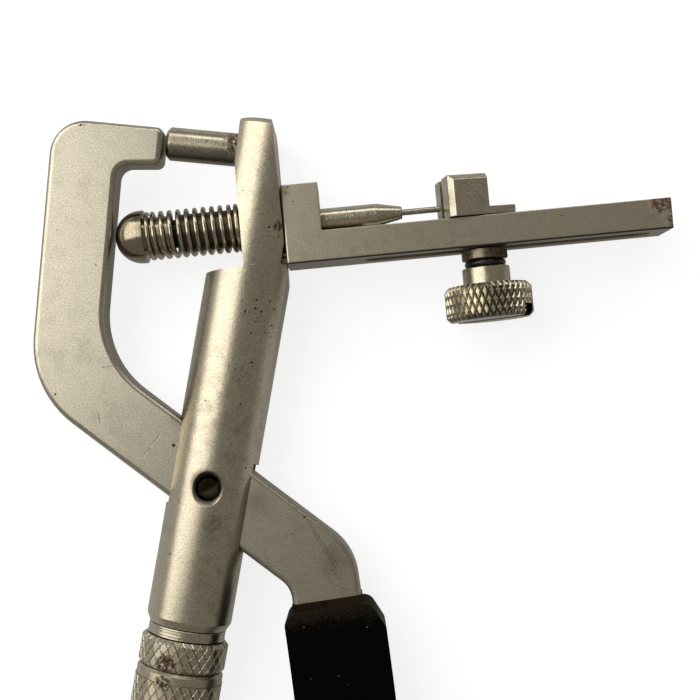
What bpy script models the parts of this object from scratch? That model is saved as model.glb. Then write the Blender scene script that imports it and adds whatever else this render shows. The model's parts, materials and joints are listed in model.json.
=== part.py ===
"""Hand pliers that press the pins of a strap or bracelet in and out.

The tool lies on its side. Its mid-plane is level, the grip points along -Y, the post stands
along +Y, and the lever opens about a vertical axis. Every piece is drawn in one of three
frames: the tool frame (origin on the lever's pivot), the rail frame (X along the plunger and
the rail, Y across them) and the anvil frame (X along the anvil). The last step moves the tool
so that the origin is at the bottom centre of its box.
"""

import math

import bmesh
import bpy
from mathutils import Vector

MM = 0.001

# Clearances
SEAT_GAP = 0.10 * MM  # between faces that rest on each other
BORE_GAP = 0.10 * MM  # on the radius, between a shaft and the hole that it sits or runs in
DOME_GAP = 0.25 * MM  # between the jaw and the dome that it pushes
SAME = 0.01 * MM  # two places closer than this count as one
CUT_MARGIN = 1.0 * MM  # how far a cutter stands proud of the metal
HOLE_MARGIN = 0.5 * MM  # how far past its pin a blind hole goes

# Barrel and post
BARREL_RADIUS = 6.0 * MM
BARREL_BOTTOM = -19.9 * MM
BARREL_CHAMFER = (0.55 * MM, 1.1 * MM)
POST_TOP = 51.75 * MM
POST_CHAMFER = 0.7 * MM
POST_LEFT = -2.08 * MM  # the two milled flats, in the rail frame
POST_RIGHT = 3.7 * MM
SHOULDER_DROP = 6.16 * MM
SHOULDER_FILLET = 0.15 * MM
FACET_BOTTOM = 8.45 * MM
FACET_TILT = math.radians(3.3)
RELIEF = (2.9 * MM, 0.75 * MM)  # height and depth of the notch in front, beside the block's foot
LEVER_SWING = math.radians(12)  # how far the slot lets the lever open
LEVER_SLOT_MARGIN = 0.2 * MM  # left between the slot's ends and the lever

# Pivot
PIVOT_RADIUS = 1.65 * MM
PIVOT_HALF_LENGTH = 4.9 * MM
PIVOT_DOME = 0.3 * MM
PIVOT_SINK_RADIUS = 2.5 * MM
PIVOT_SLOT = (0.5 * MM, 0.5 * MM)  # width and depth of the driver slot
PIVOT_SLOT_TURN = math.radians(38)

# Rail frame
RAIL_TILT = math.radians(15.3)
PLUNGER_HEIGHT = 37.57 * MM

# Anvil
ANVIL_TILT = math.radians(4.55)
ANVIL_HEIGHT = 48.135 * MM  # where its axis meets the barrel's
ANVIL_LENGTH = 10.2 * MM
ANVIL_RADIUS = 2.35 * MM
ANVIL_CHAMFER = 0.5 * MM
ANVIL_SPIGOT = (1.5 * MM, 4.0 * MM)

# Lever: a flat plate with a C-shaped jaw, a diagonal arm and a tang
LEVER_THICKNESS = 4.8 * MM
LEVER_EDGE = 0.55 * MM
JAW_GAP = 0.35 * MM  # left between the closed jaw and the anvil
JAW_TIP_FILLET = 1.1 * MM
JAW_TIP_HEIGHT = 5.3 * MM
JAW_HEIGHT_OVER_ANVIL = 1.82 * MM
JAW_TAPER = math.radians(5.5)
LIMB_TILT = math.radians(4.9)
LIMB_WIDTH = 9.75 * MM
LIMB_FOOT = 15.3 * MM  # height at which the limb's inner edge meets the arm's
ARM_TILT = math.radians(-27.0)
ARM_WIDTH = 9.9 * MM
ARM_OFFSET = 0.33 * MM  # how far the arm's middle passes over the pivot
CORNER_RADIUS = 5.0 * MM
THROAT_RADIUS = 1.8 * MM
KNEE_RADIUS = (14.0 * MM, 13.0 * MM)
BEND_RADIUS = (3.6 * MM, 9.0 * MM)
LEVER_BORE_GAP = 0.06 * MM

# Handle: the tang and its sleeve follow one gentle arc
HANDLE_START = (18.97 * MM, -13.02 * MM)
HANDLE_START_ANGLE = math.radians(18.5)
HANDLE_END_ANGLE = math.radians(9.0)
HANDLE_LENGTH = 87.0 * MM
TANG_WIDTH = 9.8 * MM
SLEEVE_START = 0.75 * MM
SLEEVE_WIDTH = 14.0 * MM
SLEEVE_DEPTH = 9.4 * MM
SLEEVE_SHIFT = 0.7 * MM
SLEEVE_EDGE = 2.6 * MM
SLEEVE_MOUTH = 1.7 * MM
SLEEVE_SHOULDER = (1.7 * MM, 3.6 * MM)  # the slanted corner on the outer side
SLEEVE_END_WALL = 3.0 * MM

# Plunger
DOME_RADIUS = 3.74 * MM
DOME_SKIRT = 0.55 * MM
HEAD_SHANK_RADIUS = 2.65 * MM
HEAD_SHANK_LENGTH = 3.65 * MM
STEM_RADIUS = 2.0 * MM
STEM_END = 3.0 * MM
STEM_SOCKET = (1.05 * MM, 3.5 * MM)
BUSH_RADIUS = 2.65 * MM
BUSH_REACH = 9.32 * MM  # how far it stands out of the post
HOLDER_RADIUS = 1.6 * MM
HOLDER_SHOULDER = 17.24 * MM
HOLDER_TIP = 20.66 * MM
HOLDER_TIP_RADIUS = 0.9 * MM
NEEDLE_RADIUS = 0.43 * MM
NEEDLE_SEAT = 14.0 * MM
SPRING_WIRE = 0.65 * MM
SPRING_RADIUS = 3.13 * MM
SPRING_TURNS = 11.5
SPRING_CLOSED_TURNS = 1.0
SPRING_CLOSED_GAP = 0.14 * MM

# Rail bracket
RAIL_DEPTH = 8.2 * MM
RAIL_TOP = -2.0 * MM
RAIL_BOTTOM = -6.3 * MM
RAIL_END = 57.9 * MM
BLOCK_TOP = 4.75 * MM
BLOCK_RIGHT = 9.07 * MM
BRACKET_EDGE = 0.25 * MM
BRACKET_HEEL = 0.45 * MM
RAIL_SLOT_WIDTH = 3.4 * MM
RAIL_SLOT = (14.8 * MM, 55.5 * MM)
DOWEL_RADIUS = 0.6 * MM
DOWEL_LENGTH = 6.0 * MM
DOWEL_HEIGHTS = {"bracket_dowel_upper": 3.65 * MM, "bracket_dowel_lower": -4.4 * MM}

# Stop and its clamp, placed from the clamp's axis
STOP_AT = 31.8 * MM
STOP_SWIVEL = math.radians(10.0)
STOP_LEFT = -5.45 * MM
STOP_RIGHT = 0.2 * MM
STOP_HEIGHT = 5.95 * MM
STOP_CHAMFER = 0.75 * MM
STOP_FOOT = 3.9 * MM
STOP_FOOT_HEIGHT = 1.2 * MM
STOP_SLOT = (1.4 * MM, 1.5 * MM)
STOP_SLOT_SHIFT = -0.3 * MM
NEEDLE_GAP = 0.12 * MM  # between the needle's tip and the stop
COLLAR_RADIUS = 3.25 * MM
COLLAR_THICKNESS = 1.4 * MM
O_RING_SECTION = 0.48 * MM
O_RING_RADIUS = 2.45 * MM
SCREW_RADIUS = 1.2 * MM
SCREW_COVER = 0.25 * MM  # left of the stop's foot over the thread
SCREW_NECK_RADIUS = 3.37 * MM
SCREW_NECK_LENGTH = 2.5 * MM
KNOB_RADIUS = 6.2 * MM
KNOB_THICKNESS = 4.9 * MM
KNOB_CHAMFER = 0.6 * MM
KNOB_SLOT = (1.6 * MM, 1.4 * MM)
KNOB_SLOT_TURN = math.radians(31)
COLLAR_CHAMFER = 0.1 * MM

# Grip
GRIP_RADIUS = 6.2 * MM
GRIP_END = -105.0 * MM
GRIP_END_FILLET = 1.8 * MM
RING_RADIUS = 6.15 * MM
RING_LENGTH = 4.3 * MM
KNURL_CHAMFER = 0.5 * MM
COLLAR_STEP_RADIUS = 5.45 * MM
COLLAR_STEP_LENGTH = 1.48 * MM
STUD_RADIUS = 4.0 * MM
STUD_IN_BARREL = 5.5 * MM
STUD_IN_GRIP = 18.0 * MM

FINE_STEPS, STEPS, COARSE_STEPS = 48, 32, 16


# ---- frames, collections and finishes -------------------------------------------------------


def clear_scene():
    for item in list(bpy.data.objects):
        bpy.data.objects.remove(item)


def new_collection(name):
    collection = bpy.data.collections.new(name)
    bpy.context.scene.collection.children.link(collection)
    return collection


def new_frame(name, parent=None, location=(0, 0, 0), rotation=(0, 0, 0)):
    frame = bpy.data.objects.new(name, None)
    frame.location, frame.rotation_euler, frame.parent = location, rotation, parent
    PIECES.objects.link(frame)
    return frame


def finish(name, colour, roughness, metallic=1.0):
    made = bpy.data.materials.new(name)
    made.use_nodes = True
    shader = made.node_tree.nodes["Principled BSDF"]
    shader.inputs["Base Color"].default_value = (*colour, 1.0)
    shader.inputs["Roughness"].default_value = roughness
    shader.inputs["Metallic"].default_value = metallic
    return made


def satin_steel(name):
    return finish(name, (0.42, 0.39, 0.31), 0.38)


def bright_steel(name):
    return finish(name, (0.55, 0.52, 0.44), 0.24)


def dark_steel(name):
    return finish(name, (0.10, 0.09, 0.07), 0.45)


def black_rubber(name):
    return finish(name, (0.012, 0.011, 0.010), 0.42, metallic=0.0)


# ---- points and outlines --------------------------------------------------------------------


def turn(point, angle):
    x, y = point
    return (x * math.cos(angle) - y * math.sin(angle), x * math.sin(angle) + y * math.cos(angle))


def from_rail(along, across):
    """A point of the rail frame, in the tool frame."""
    x, y = turn((along, across), RAIL_TILT)
    return (x, y + PLUNGER_HEIGHT)


def from_anvil(along, across):
    """A point of the anvil frame, in the tool frame."""
    x, y = turn((along, across), ANVIL_TILT)
    return (x, y + ANVIL_HEIGHT)


def crossing(first, first_angle, second, second_angle):
    """Where two lines meet, each given by a point and an angle."""
    ax, ay = math.cos(first_angle), math.sin(first_angle)
    bx, by = math.cos(second_angle), math.sin(second_angle)
    reach = ((second[0] - first[0]) * by - (second[1] - first[1]) * bx) / (ax * by - ay * bx)
    return (first[0] + reach * ax, first[1] + reach * ay)


def beside(point, angle, distance):
    """The point this far to the left of a line that leaves point at angle."""
    return (point[0] - distance * math.sin(angle), point[1] + distance * math.cos(angle))


def rounded(corners, step=math.radians(15)):
    """An outline with an arc at every corner (x, y, radius) whose radius isn't 0."""
    outline = []
    for i, (x, y, radius) in enumerate(corners):
        corner = Vector((x, y))
        back = (Vector(corners[i - 1][:2]) - corner).normalized()
        ahead = (Vector(corners[(i + 1) % len(corners)][:2]) - corner).normalized()
        if not radius:
            outline.append(tuple(corner))
            continue
        half = back.angle(ahead) / 2
        centre = corner + (back + ahead).normalized() * radius / math.sin(half)
        start = corner + back * radius / math.tan(half) - centre
        swept = start.angle_signed(corner + ahead * radius / math.tan(half) - centre)
        count = max(2, round(abs(swept) / step))
        for k in range(count + 1):
            x_off, y_off = turn(start, -swept * k / count)
            outline.append((centre.x + x_off, centre.y + y_off))
    return outline


def handle_point(along, offset):
    """A point beside the handle's centre line, offset towards its outer side."""
    bend = (HANDLE_END_ANGLE - HANDLE_START_ANGLE) / HANDLE_LENGTH
    angle = HANDLE_START_ANGLE + bend * along
    x = HANDLE_START[0] + (math.cos(HANDLE_START_ANGLE) - math.cos(angle)) / bend
    y = HANDLE_START[1] - (math.sin(angle) - math.sin(HANDLE_START_ANGLE)) / bend
    return (x + offset * math.cos(angle), y + offset * math.sin(angle))


def handle_outline(start, end, middle, width, start_radii, end_radius, spans=8):
    """Corners of a strip along the handle, from its outer start round its end to its inner start."""
    places = [start + (end - start) * k / spans for k in range(spans + 1)]
    outer = [(*handle_point(s, middle + width / 2), 0) for s in places]
    inner = [(*handle_point(s, middle - width / 2), 0) for s in reversed(places)]
    outer[0], outer[-1] = (*outer[0][:2], start_radii[0]), (*outer[-1][:2], end_radius)
    inner[0], inner[-1] = (*inner[0][:2], end_radius), (*inner[-1][:2], start_radii[1])
    return outer + inner


def tang_outline(start, gap):
    """Corners of the tang from this far along the handle, or of a pocket wider by the gap."""
    end = HANDLE_LENGTH - SLEEVE_END_WALL + gap
    return handle_outline(start, end, 0, TANG_WIDTH + 2 * gap, (0, 0), TANG_WIDTH / 3)


# ---- making solids --------------------------------------------------------------------------


def place(item, parent, location=(0, 0, 0), rotation=(0, 0, 0)):
    item.parent, item.location, item.rotation_euler = parent, location, rotation
    return item


def new_piece(name, mesh, material):
    piece = bpy.data.objects.new(name, mesh)
    if material:
        mesh.materials.append(material)
        PIECES.objects.link(piece)
    else:
        CUTTERS.objects.link(piece)
        piece.hide_render = True
        piece.display_type = "WIRE"
    return piece


def turned(name, profile, material=None, steps=STEPS, ring=False):
    """A solid turned about its own Z from (radius, height) points, listed down the outer side."""
    mesh = bpy.data.meshes.new(name)
    edges = [(i, i + 1) for i in range(len(profile) - 1)]
    if ring:
        edges.append((len(profile) - 1, 0))
    mesh.from_pydata([(radius, 0, height) for radius, height in profile], edges, [])
    piece = new_piece(name, mesh, material)
    screw = piece.modifiers.new("turn", "SCREW")
    screw.axis, screw.angle = "Z", math.tau
    screw.steps = screw.render_steps = steps
    screw.use_merge_vertices, screw.merge_threshold = True, 1e-6
    screw.use_smooth_shade = True
    return piece


def rod(name, radius, top, bottom, material=None, steps=STEPS):
    """A plain cylinder along its own Z."""
    mesh = bpy.data.meshes.new(name)
    shape = bmesh.new()
    size = {"radius1": radius, "radius2": radius, "depth": top - bottom}
    bmesh.ops.create_cone(shape, cap_ends=True, segments=steps, **size)
    bmesh.ops.translate(shape, vec=(0, 0, (top + bottom) / 2), verts=shape.verts)
    shape.to_mesh(mesh)
    shape.free()
    smooth(mesh)
    return new_piece(name, mesh, material)


def smooth(mesh):
    """Shades the round faces smooth and keeps the corners sharp."""
    mesh.shade_smooth()
    mesh.set_sharp_from_angle(angle=math.radians(35))


def plate(name, outline, thickness, material=None):
    """A flat outline in XY, extruded to both sides of it."""
    curve = bpy.data.curves.new(name, "CURVE")
    curve.dimensions, curve.fill_mode, curve.extrude = "2D", "BOTH", thickness / 2
    spline = curve.splines.new("POLY")
    spline.points.add(len(outline) - 1)
    for point, (x, y) in zip(spline.points, outline):
        point.co = (x, y, 0, 1)
    spline.use_cyclic_u = True
    sketch = bpy.data.objects.new(name + "_sketch", curve)
    CUTTERS.objects.link(sketch)
    bpy.context.view_layer.update()
    graph = bpy.context.evaluated_depsgraph_get()
    mesh = bpy.data.meshes.new_from_object(sketch.evaluated_get(graph))
    bpy.data.objects.remove(sketch)
    welded = bmesh.new()
    welded.from_mesh(mesh)
    bmesh.ops.remove_doubles(welded, verts=welded.verts, dist=1e-6)
    bmesh.ops.dissolve_limit(welded, angle_limit=1e-3, verts=welded.verts, edges=welded.edges)
    bmesh.ops.recalc_face_normals(welded, faces=welded.faces)
    welded.to_mesh(mesh)
    welded.free()
    smooth(mesh)
    return new_piece(name, mesh, material)


def block(name, low, high, material=None):
    """A box between two corners."""
    mesh = bpy.data.meshes.new(name)
    shape = bmesh.new()
    bmesh.ops.create_cube(shape, size=1)
    for vertex in shape.verts:
        for axis in range(3):
            vertex.co[axis] = (high[axis] + low[axis]) / 2 + vertex.co[axis] * (high[axis] - low[axis])
    shape.to_mesh(mesh)
    shape.free()
    return new_piece(name, mesh, material)


def soften(piece, width, segments=2, angle=math.radians(50)):
    """Rounds the sharp edges that the piece has at this point."""
    bevel = piece.modifiers.new("soften", "BEVEL")
    bevel.width, bevel.segments = width, segments
    bevel.limit_method, bevel.angle_limit = "ANGLE", angle


def chamfer(piece, width, chosen):
    """Chamfers the edges whose two end points chosen() accepts."""
    shape = bmesh.new()
    shape.from_mesh(piece.data)
    edges = [edge for edge in shape.edges if chosen(edge.verts[0].co, edge.verts[1].co)]
    bmesh.ops.bevel(shape, geom=edges, offset=width, segments=1, affect="EDGES", profile=0.5)
    shape.to_mesh(piece.data)
    shape.free()


def combine(piece, other, operation):
    boolean = piece.modifiers.new(other.name, "BOOLEAN")
    boolean.operation, boolean.object, boolean.solver = operation, other, "EXACT"


def cut(piece, cutter):
    combine(piece, cutter, "DIFFERENCE")


def upright_at(x):
    """Accepts edges that stand in the XY plane at this X, such as a plate's corners seen end on."""

    def chosen(a, b):
        return abs(a.x - x) < SAME and abs(b.x - x) < SAME and abs(a.z - b.z) < SAME

    return chosen


def level_at(y):
    """Accepts edges that run along X at this Y."""

    def chosen(a, b):
        return abs(a.y - y) < SAME and abs(b.y - y) < SAME and abs(a.z - b.z) < SAME

    return chosen


ALONG_X = (0, math.radians(90), 0)
ALONG_Y = (math.radians(-90), 0, 0)


# ---- the pieces -----------------------------------------------------------------------------


def jaw_edges():
    """The lever's straight edges, each a point and an angle in the tool frame."""
    face_foot = from_anvil(anvil_left() - JAW_GAP, 0)
    limb = math.radians(90) + LIMB_TILT
    arm_middle = beside((0, 0), ARM_TILT, ARM_OFFSET)
    inner_foot = crossing((0, LIMB_FOOT), 0, beside(arm_middle, ARM_TILT, ARM_WIDTH / 2), ARM_TILT)
    return {
        "top": (from_anvil(0, JAW_HEIGHT_OVER_ANVIL), ANVIL_TILT),
        "face": (face_foot, math.radians(90) + ANVIL_TILT),
        "inner": (inner_foot, limb),
        "outer": (beside(inner_foot, limb, LIMB_WIDTH), limb),
        "arm_over": (inner_foot, ARM_TILT),
        "arm_under": (beside(arm_middle, ARM_TILT, -ARM_WIDTH / 2), ARM_TILT),
    }


def anvil_left():
    """Where the anvil's free end is, along its axis from the barrel's."""
    return facet_at() - SEAT_GAP - ANVIL_LENGTH


def facet_at():
    """Where the anvil's axis meets the facet milled for it on the post."""
    foot = from_rail(POST_LEFT, FACET_BOTTOM)
    upright = math.radians(90) + FACET_TILT
    x, y = crossing((0, ANVIL_HEIGHT), ANVIL_TILT, foot, upright)
    return math.copysign(math.hypot(x, y - ANVIL_HEIGHT), x)


def jaw_corner(edges, first, second):
    return crossing(*edges[first], *edges[second])


def lever_outline():
    """The lever's outline, from the jaw's tip round its outer side to the tang and back."""
    edges = jaw_edges()
    tip_top = jaw_corner(edges, "top", "face")
    under = ANVIL_TILT + JAW_TAPER
    tip_bottom = beside(tip_top, ANVIL_TILT, -JAW_TIP_HEIGHT)
    corners = [
        (*tip_top, JAW_TIP_FILLET),
        (*jaw_corner(edges, "top", "outer"), CORNER_RADIUS),
        (*jaw_corner(edges, "outer", "arm_under"), KNEE_RADIUS[0]),
        (*bend_corner(edges, "arm_under", -1), BEND_RADIUS[0]),
        *reversed(tang_outline(0, 0)),
        (*bend_corner(edges, "arm_over", 1), BEND_RADIUS[1]),
        (*edges["inner"][0], KNEE_RADIUS[1]),
        (*crossing(tip_bottom, under, *edges["inner"]), THROAT_RADIUS),
        (*tip_bottom, JAW_TIP_FILLET),
    ]
    return rounded(corners)


def bend_corner(edges, edge, side):
    """Where an edge of the arm meets the tang's edge on that side."""
    start = handle_point(0, side * TANG_WIDTH / 2)
    return crossing(*edges[edge], start, HANDLE_START_ANGLE - math.radians(90))


def make_lever():
    lever = plate("jaw_lever", lever_outline(), LEVER_THICKNESS, satin_steel("satin_lever"))
    soften(lever, LEVER_EDGE)
    reach = LEVER_THICKNESS / 2 + CUT_MARGIN
    bore = rod("lever_bore", PIVOT_RADIUS + LEVER_BORE_GAP, reach, -reach)
    cut(lever, place(bore, TOOL))
    return place(lever, TOOL)


def make_sleeve():
    mouth, end_radius = (0, SLEEVE_MOUTH), SLEEVE_WIDTH * 0.42
    corners = handle_outline(
        SLEEVE_START, HANDLE_LENGTH, SLEEVE_SHIFT, SLEEVE_WIDTH, mouth, end_radius
    )
    across, along = SLEEVE_SHOULDER
    outer = SLEEVE_SHIFT + SLEEVE_WIDTH / 2
    corners[0] = (*handle_point(SLEEVE_START + along, outer), SLEEVE_MOUTH)
    corners.append((*handle_point(SLEEVE_START, outer - across), SLEEVE_MOUTH))
    sleeve = plate("handle_sleeve", rounded(corners), SLEEVE_DEPTH, black_rubber("black_sleeve"))
    soften(sleeve, SLEEVE_EDGE, segments=3)
    pocket_outline = tang_outline(SLEEVE_START - CUT_MARGIN, SEAT_GAP)
    pocket = plate("tang_pocket", rounded(pocket_outline), LEVER_THICKNESS + 2 * SEAT_GAP)
    cut(sleeve, place(pocket, TOOL))
    return place(sleeve, TOOL)


def post_side():
    """The barrel seen from the side: round below, milled to a leaning post above."""
    out = BARREL_RADIUS + CUT_MARGIN
    floor = BARREL_BOTTOM - CUT_MARGIN
    above = (0, POST_TOP + CUT_MARGIN)
    facet_foot = from_rail(POST_LEFT, FACET_BOTTOM)
    facet_top = crossing(facet_foot, math.radians(90) + FACET_TILT, above, 0)
    right = (from_rail(POST_RIGHT, 0), RAIL_TILT + math.radians(90))
    corners = [
        (-out, floor, 0),
        (out, floor, 0),
        (*crossing((out, 0), math.radians(90), *right), 0),
        (*crossing(above, 0, *right), 0),
        (*facet_top, 0),
        (*facet_foot, 0),
        (*from_rail(POST_LEFT, -SHOULDER_DROP), SHOULDER_FILLET),
        (*from_rail(-out / math.cos(RAIL_TILT) - CUT_MARGIN, -SHOULDER_DROP), 0),
    ]
    return rounded(corners)


def make_barrel():
    stud_bore = STUD_RADIUS + BORE_GAP
    stud_hole_end = BARREL_BOTTOM + STUD_IN_BARREL + HOLE_MARGIN
    profile = [
        (0, POST_TOP),
        (BARREL_RADIUS - POST_CHAMFER, POST_TOP),
        (BARREL_RADIUS, POST_TOP - POST_CHAMFER),
        (BARREL_RADIUS, BARREL_BOTTOM + BARREL_CHAMFER[1]),
        (BARREL_RADIUS - BARREL_CHAMFER[0], BARREL_BOTTOM),
        (stud_bore, BARREL_BOTTOM),
        (stud_bore, stud_hole_end),
        (0, stud_hole_end),
    ]
    barrel = turned("barrel", profile, satin_steel("satin_barrel"), steps=FINE_STEPS)
    place(barrel, TOOL, rotation=ALONG_Y)
    out = BARREL_RADIUS + CUT_MARGIN
    combine(barrel, place(plate("post_side", post_side(), 2 * out), TOOL), "INTERSECT")
    slot_half = LEVER_THICKNESS / 2 + BORE_GAP
    cut(barrel, place(plate("lever_slot", slot_side(out), 2 * slot_half), TOOL))
    cut(barrel, place(pivot_hole(out), TOOL))
    bush_hole = rod("bush_hole", BUSH_RADIUS + BORE_GAP, out, -out)
    cut(barrel, place(bush_hole, RAIL_FRAME, rotation=ALONG_X))
    spigot_radius, spigot_length = ANVIL_SPIGOT
    spigot_end = facet_at() + spigot_length + HOLE_MARGIN
    spigot_hole = rod("spigot_hole", spigot_radius + BORE_GAP, spigot_end, facet_at() - CUT_MARGIN)
    cut(barrel, place(spigot_hole, ANVIL_FRAME, rotation=ALONG_X))
    for name in DOWEL_HEIGHTS:
        cut(barrel, dowel_hole(name, "post"))
    cut(barrel, place(relief_notch(out), RAIL_FRAME, (0, 0, out / 2)))
    return barrel


def slot_side(out):
    """The lever's slot seen from the side. Its ends slant, so that the arm just has room to swing."""

    def edge(x, tilt, side):
        across = ARM_OFFSET + side * (ARM_WIDTH / 2 + LEVER_SLOT_MARGIN)
        return x * math.tan(tilt) + across / math.cos(tilt)

    open_tilt = ARM_TILT + LEVER_SWING
    corners = []
    for side, left_tilt, right_tilt in ((1, ARM_TILT, open_tilt), (-1, open_tilt, ARM_TILT)):
        left = edge(-BARREL_RADIUS, left_tilt, side)
        right = edge(BARREL_RADIUS, right_tilt, side)
        beyond = (right - left) / (2 * BARREL_RADIUS) * (out - BARREL_RADIUS)
        corners += [(-out, left - beyond), (out, right + beyond)][::side]
    return corners


def relief_notch(out):
    """A wedge in the post's front half, as deep as it gets at the foot of the flat."""
    height, depth = RELIEF
    foot = RAIL_BOTTOM + BRACKET_EDGE
    top = (POST_RIGHT, foot + height)
    wedge = [(POST_RIGHT - depth, foot), (out, foot), (out, top[1]), top]
    return plate("relief_notch", wedge, out)


def pivot_hole(out):
    """A plain hole with a countersink at each end."""
    bore = PIVOT_RADIUS + BORE_GAP
    sink_end = BARREL_RADIUS - (PIVOT_SINK_RADIUS - bore)
    wide = bore + out - sink_end
    profile = [(0, out), (wide, out), (bore, sink_end), (bore, -sink_end), (wide, -out), (0, -out)]
    return turned("pivot_hole", profile)


def make_pivot():
    edge = PIVOT_RADIUS - PIVOT_DOME
    face = PIVOT_HALF_LENGTH - PIVOT_DOME
    profile = [
        (0, PIVOT_HALF_LENGTH),
        (edge, PIVOT_HALF_LENGTH),
        (PIVOT_RADIUS, face),
        (PIVOT_RADIUS, -face),
        (edge, -PIVOT_HALF_LENGTH),
        (0, -PIVOT_HALF_LENGTH),
    ]
    pivot = place(turned("pivot_screw", profile, dark_steel("blackened_pivot"), COARSE_STEPS * 2), TOOL)
    width, depth = PIVOT_SLOT
    reach = PIVOT_RADIUS + CUT_MARGIN
    low = (-reach, -width / 2, PIVOT_HALF_LENGTH - depth)
    high = (reach, width / 2, PIVOT_HALF_LENGTH + CUT_MARGIN)
    driver_slot = place(block("driver_slot", low, high), TOOL, rotation=(0, 0, PIVOT_SLOT_TURN))
    cut(pivot, driver_slot)
    return pivot


def make_anvil():
    spigot_radius, spigot_length = ANVIL_SPIGOT
    right = facet_at() - SEAT_GAP
    profile = [
        (0, right + spigot_length),
        (spigot_radius, right + spigot_length),
        (spigot_radius, right),
        (ANVIL_RADIUS, right),
        (ANVIL_RADIUS, anvil_left() + ANVIL_CHAMFER),
        (ANVIL_RADIUS - ANVIL_CHAMFER, anvil_left()),
        (0, anvil_left()),
    ]
    anvil = turned("anvil_post", profile, satin_steel("satin_anvil"), STEPS)
    return place(anvil, ANVIL_FRAME, rotation=ALONG_X)


def dowel_hole(name, into):
    """The hole for one of the dowels, in the post or in the bracket."""
    ends = {"post": POST_RIGHT + CUT_MARGIN, "block": POST_RIGHT - CUT_MARGIN}
    reach = DOWEL_LENGTH / 2 + HOLE_MARGIN
    end = POST_RIGHT + (reach if into == "block" else -reach)
    top, bottom = max(ends[into], end), min(ends[into], end)
    hole = rod(f"{name}_{into}_hole", DOWEL_RADIUS + BORE_GAP, top, bottom, steps=COARSE_STEPS)
    return place(hole, RAIL_FRAME, (0, DOWEL_HEIGHTS[name], 0), ALONG_X)


def make_bracket():
    left = POST_RIGHT + SEAT_GAP
    outline = [
        (left, RAIL_BOTTOM),
        (RAIL_END, RAIL_BOTTOM),
        (RAIL_END, RAIL_TOP),
        (BLOCK_RIGHT, RAIL_TOP),
        (BLOCK_RIGHT, BLOCK_TOP),
        (left, BLOCK_TOP),
    ]
    bracket = plate("rail_bracket", outline, RAIL_DEPTH, satin_steel("satin_bracket"))
    place(bracket, RAIL_FRAME)
    chamfer(bracket, BRACKET_HEEL, upright_at(left))
    soften(bracket, BRACKET_EDGE, segments=1)
    bore_ends = (BLOCK_RIGHT + CUT_MARGIN, left - CUT_MARGIN)
    holder_bore = rod("holder_bore", HOLDER_RADIUS + BORE_GAP, *bore_ends)
    cut(bracket, place(holder_bore, RAIL_FRAME, rotation=ALONG_X))
    start, end = RAIL_SLOT
    half = RAIL_SLOT_WIDTH / 2
    corners = [(start, -half, half), (end, -half, half), (end, half, half), (start, half, half)]
    slot = plate("rail_slot", rounded(corners), RAIL_TOP - RAIL_BOTTOM + 2 * CUT_MARGIN)
    middle = (0, (RAIL_TOP + RAIL_BOTTOM) / 2, 0)
    cut(bracket, place(slot, RAIL_FRAME, middle, (math.radians(90), 0, 0)))
    for name in DOWEL_HEIGHTS:
        cut(bracket, dowel_hole(name, "block"))
    return bracket


def make_dowels():
    half = DOWEL_LENGTH / 2
    for name, height in DOWEL_HEIGHTS.items():
        top, bottom = POST_RIGHT + half, POST_RIGHT - half
        dowel = rod(name, DOWEL_RADIUS, top, bottom, bright_steel("bright_" + name), COARSE_STEPS)
        place(dowel, RAIL_FRAME, (0, height, 0), ALONG_X)


def make_bush():
    top, bottom = POST_RIGHT - SEAT_GAP, POST_LEFT - BUSH_REACH
    bore = STEM_RADIUS + BORE_GAP
    profile = [(BUSH_RADIUS, top), (BUSH_RADIUS, bottom), (bore, bottom), (bore, top)]
    bush = turned("guide_bush", profile, satin_steel("satin_bush"), STEPS, ring=True)
    return place(bush, RAIL_FRAME, rotation=ALONG_X)


def dome_centre():
    """Where the dome's centre is along the plunger, with the dome against the jaw."""
    foot, angle = jaw_edges()["inner"]
    x, y = crossing((0, PLUNGER_HEIGHT), RAIL_TILT, foot, angle)
    meets = math.copysign(math.hypot(x, y - PLUNGER_HEIGHT), x)
    lean = angle - math.radians(90) - RAIL_TILT
    return meets + (DOME_RADIUS + DOME_GAP) / math.cos(lean)


def make_head():
    centre = dome_centre()
    base = centre + DOME_SKIRT
    end = base + HEAD_SHANK_LENGTH
    socket_radius = STEM_RADIUS + BORE_GAP
    socket_end = base + HOLE_MARGIN
    arc = [math.radians(90) * k / 8 for k in range(9)]
    profile = [
        (0, socket_end),
        (socket_radius, socket_end),
        (socket_radius, end),
        (HEAD_SHANK_RADIUS, end),
        (HEAD_SHANK_RADIUS, base),
        (DOME_RADIUS, base),
        *[(DOME_RADIUS * math.cos(a), centre - DOME_RADIUS * math.sin(a)) for a in arc],
    ]
    profile[-1] = (0, centre - DOME_RADIUS)
    head = turned("plunger_head", profile, satin_steel("satin_head"), STEPS)
    return place(head, RAIL_FRAME, rotation=ALONG_X)


def make_stem():
    start = dome_centre() + DOME_SKIRT + HOLE_MARGIN + SEAT_GAP
    socket_radius, socket_depth = STEM_SOCKET
    floor = STEM_END - socket_depth - HOLE_MARGIN
    profile = [
        (0, floor),
        (socket_radius + BORE_GAP, floor),
        (socket_radius + BORE_GAP, STEM_END),
        (STEM_RADIUS, STEM_END),
        (STEM_RADIUS, start),
        (0, start),
    ]
    stem = turned("plunger_stem", profile, bright_steel("bright_stem"), STEPS)
    return place(stem, RAIL_FRAME, rotation=ALONG_X)


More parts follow.
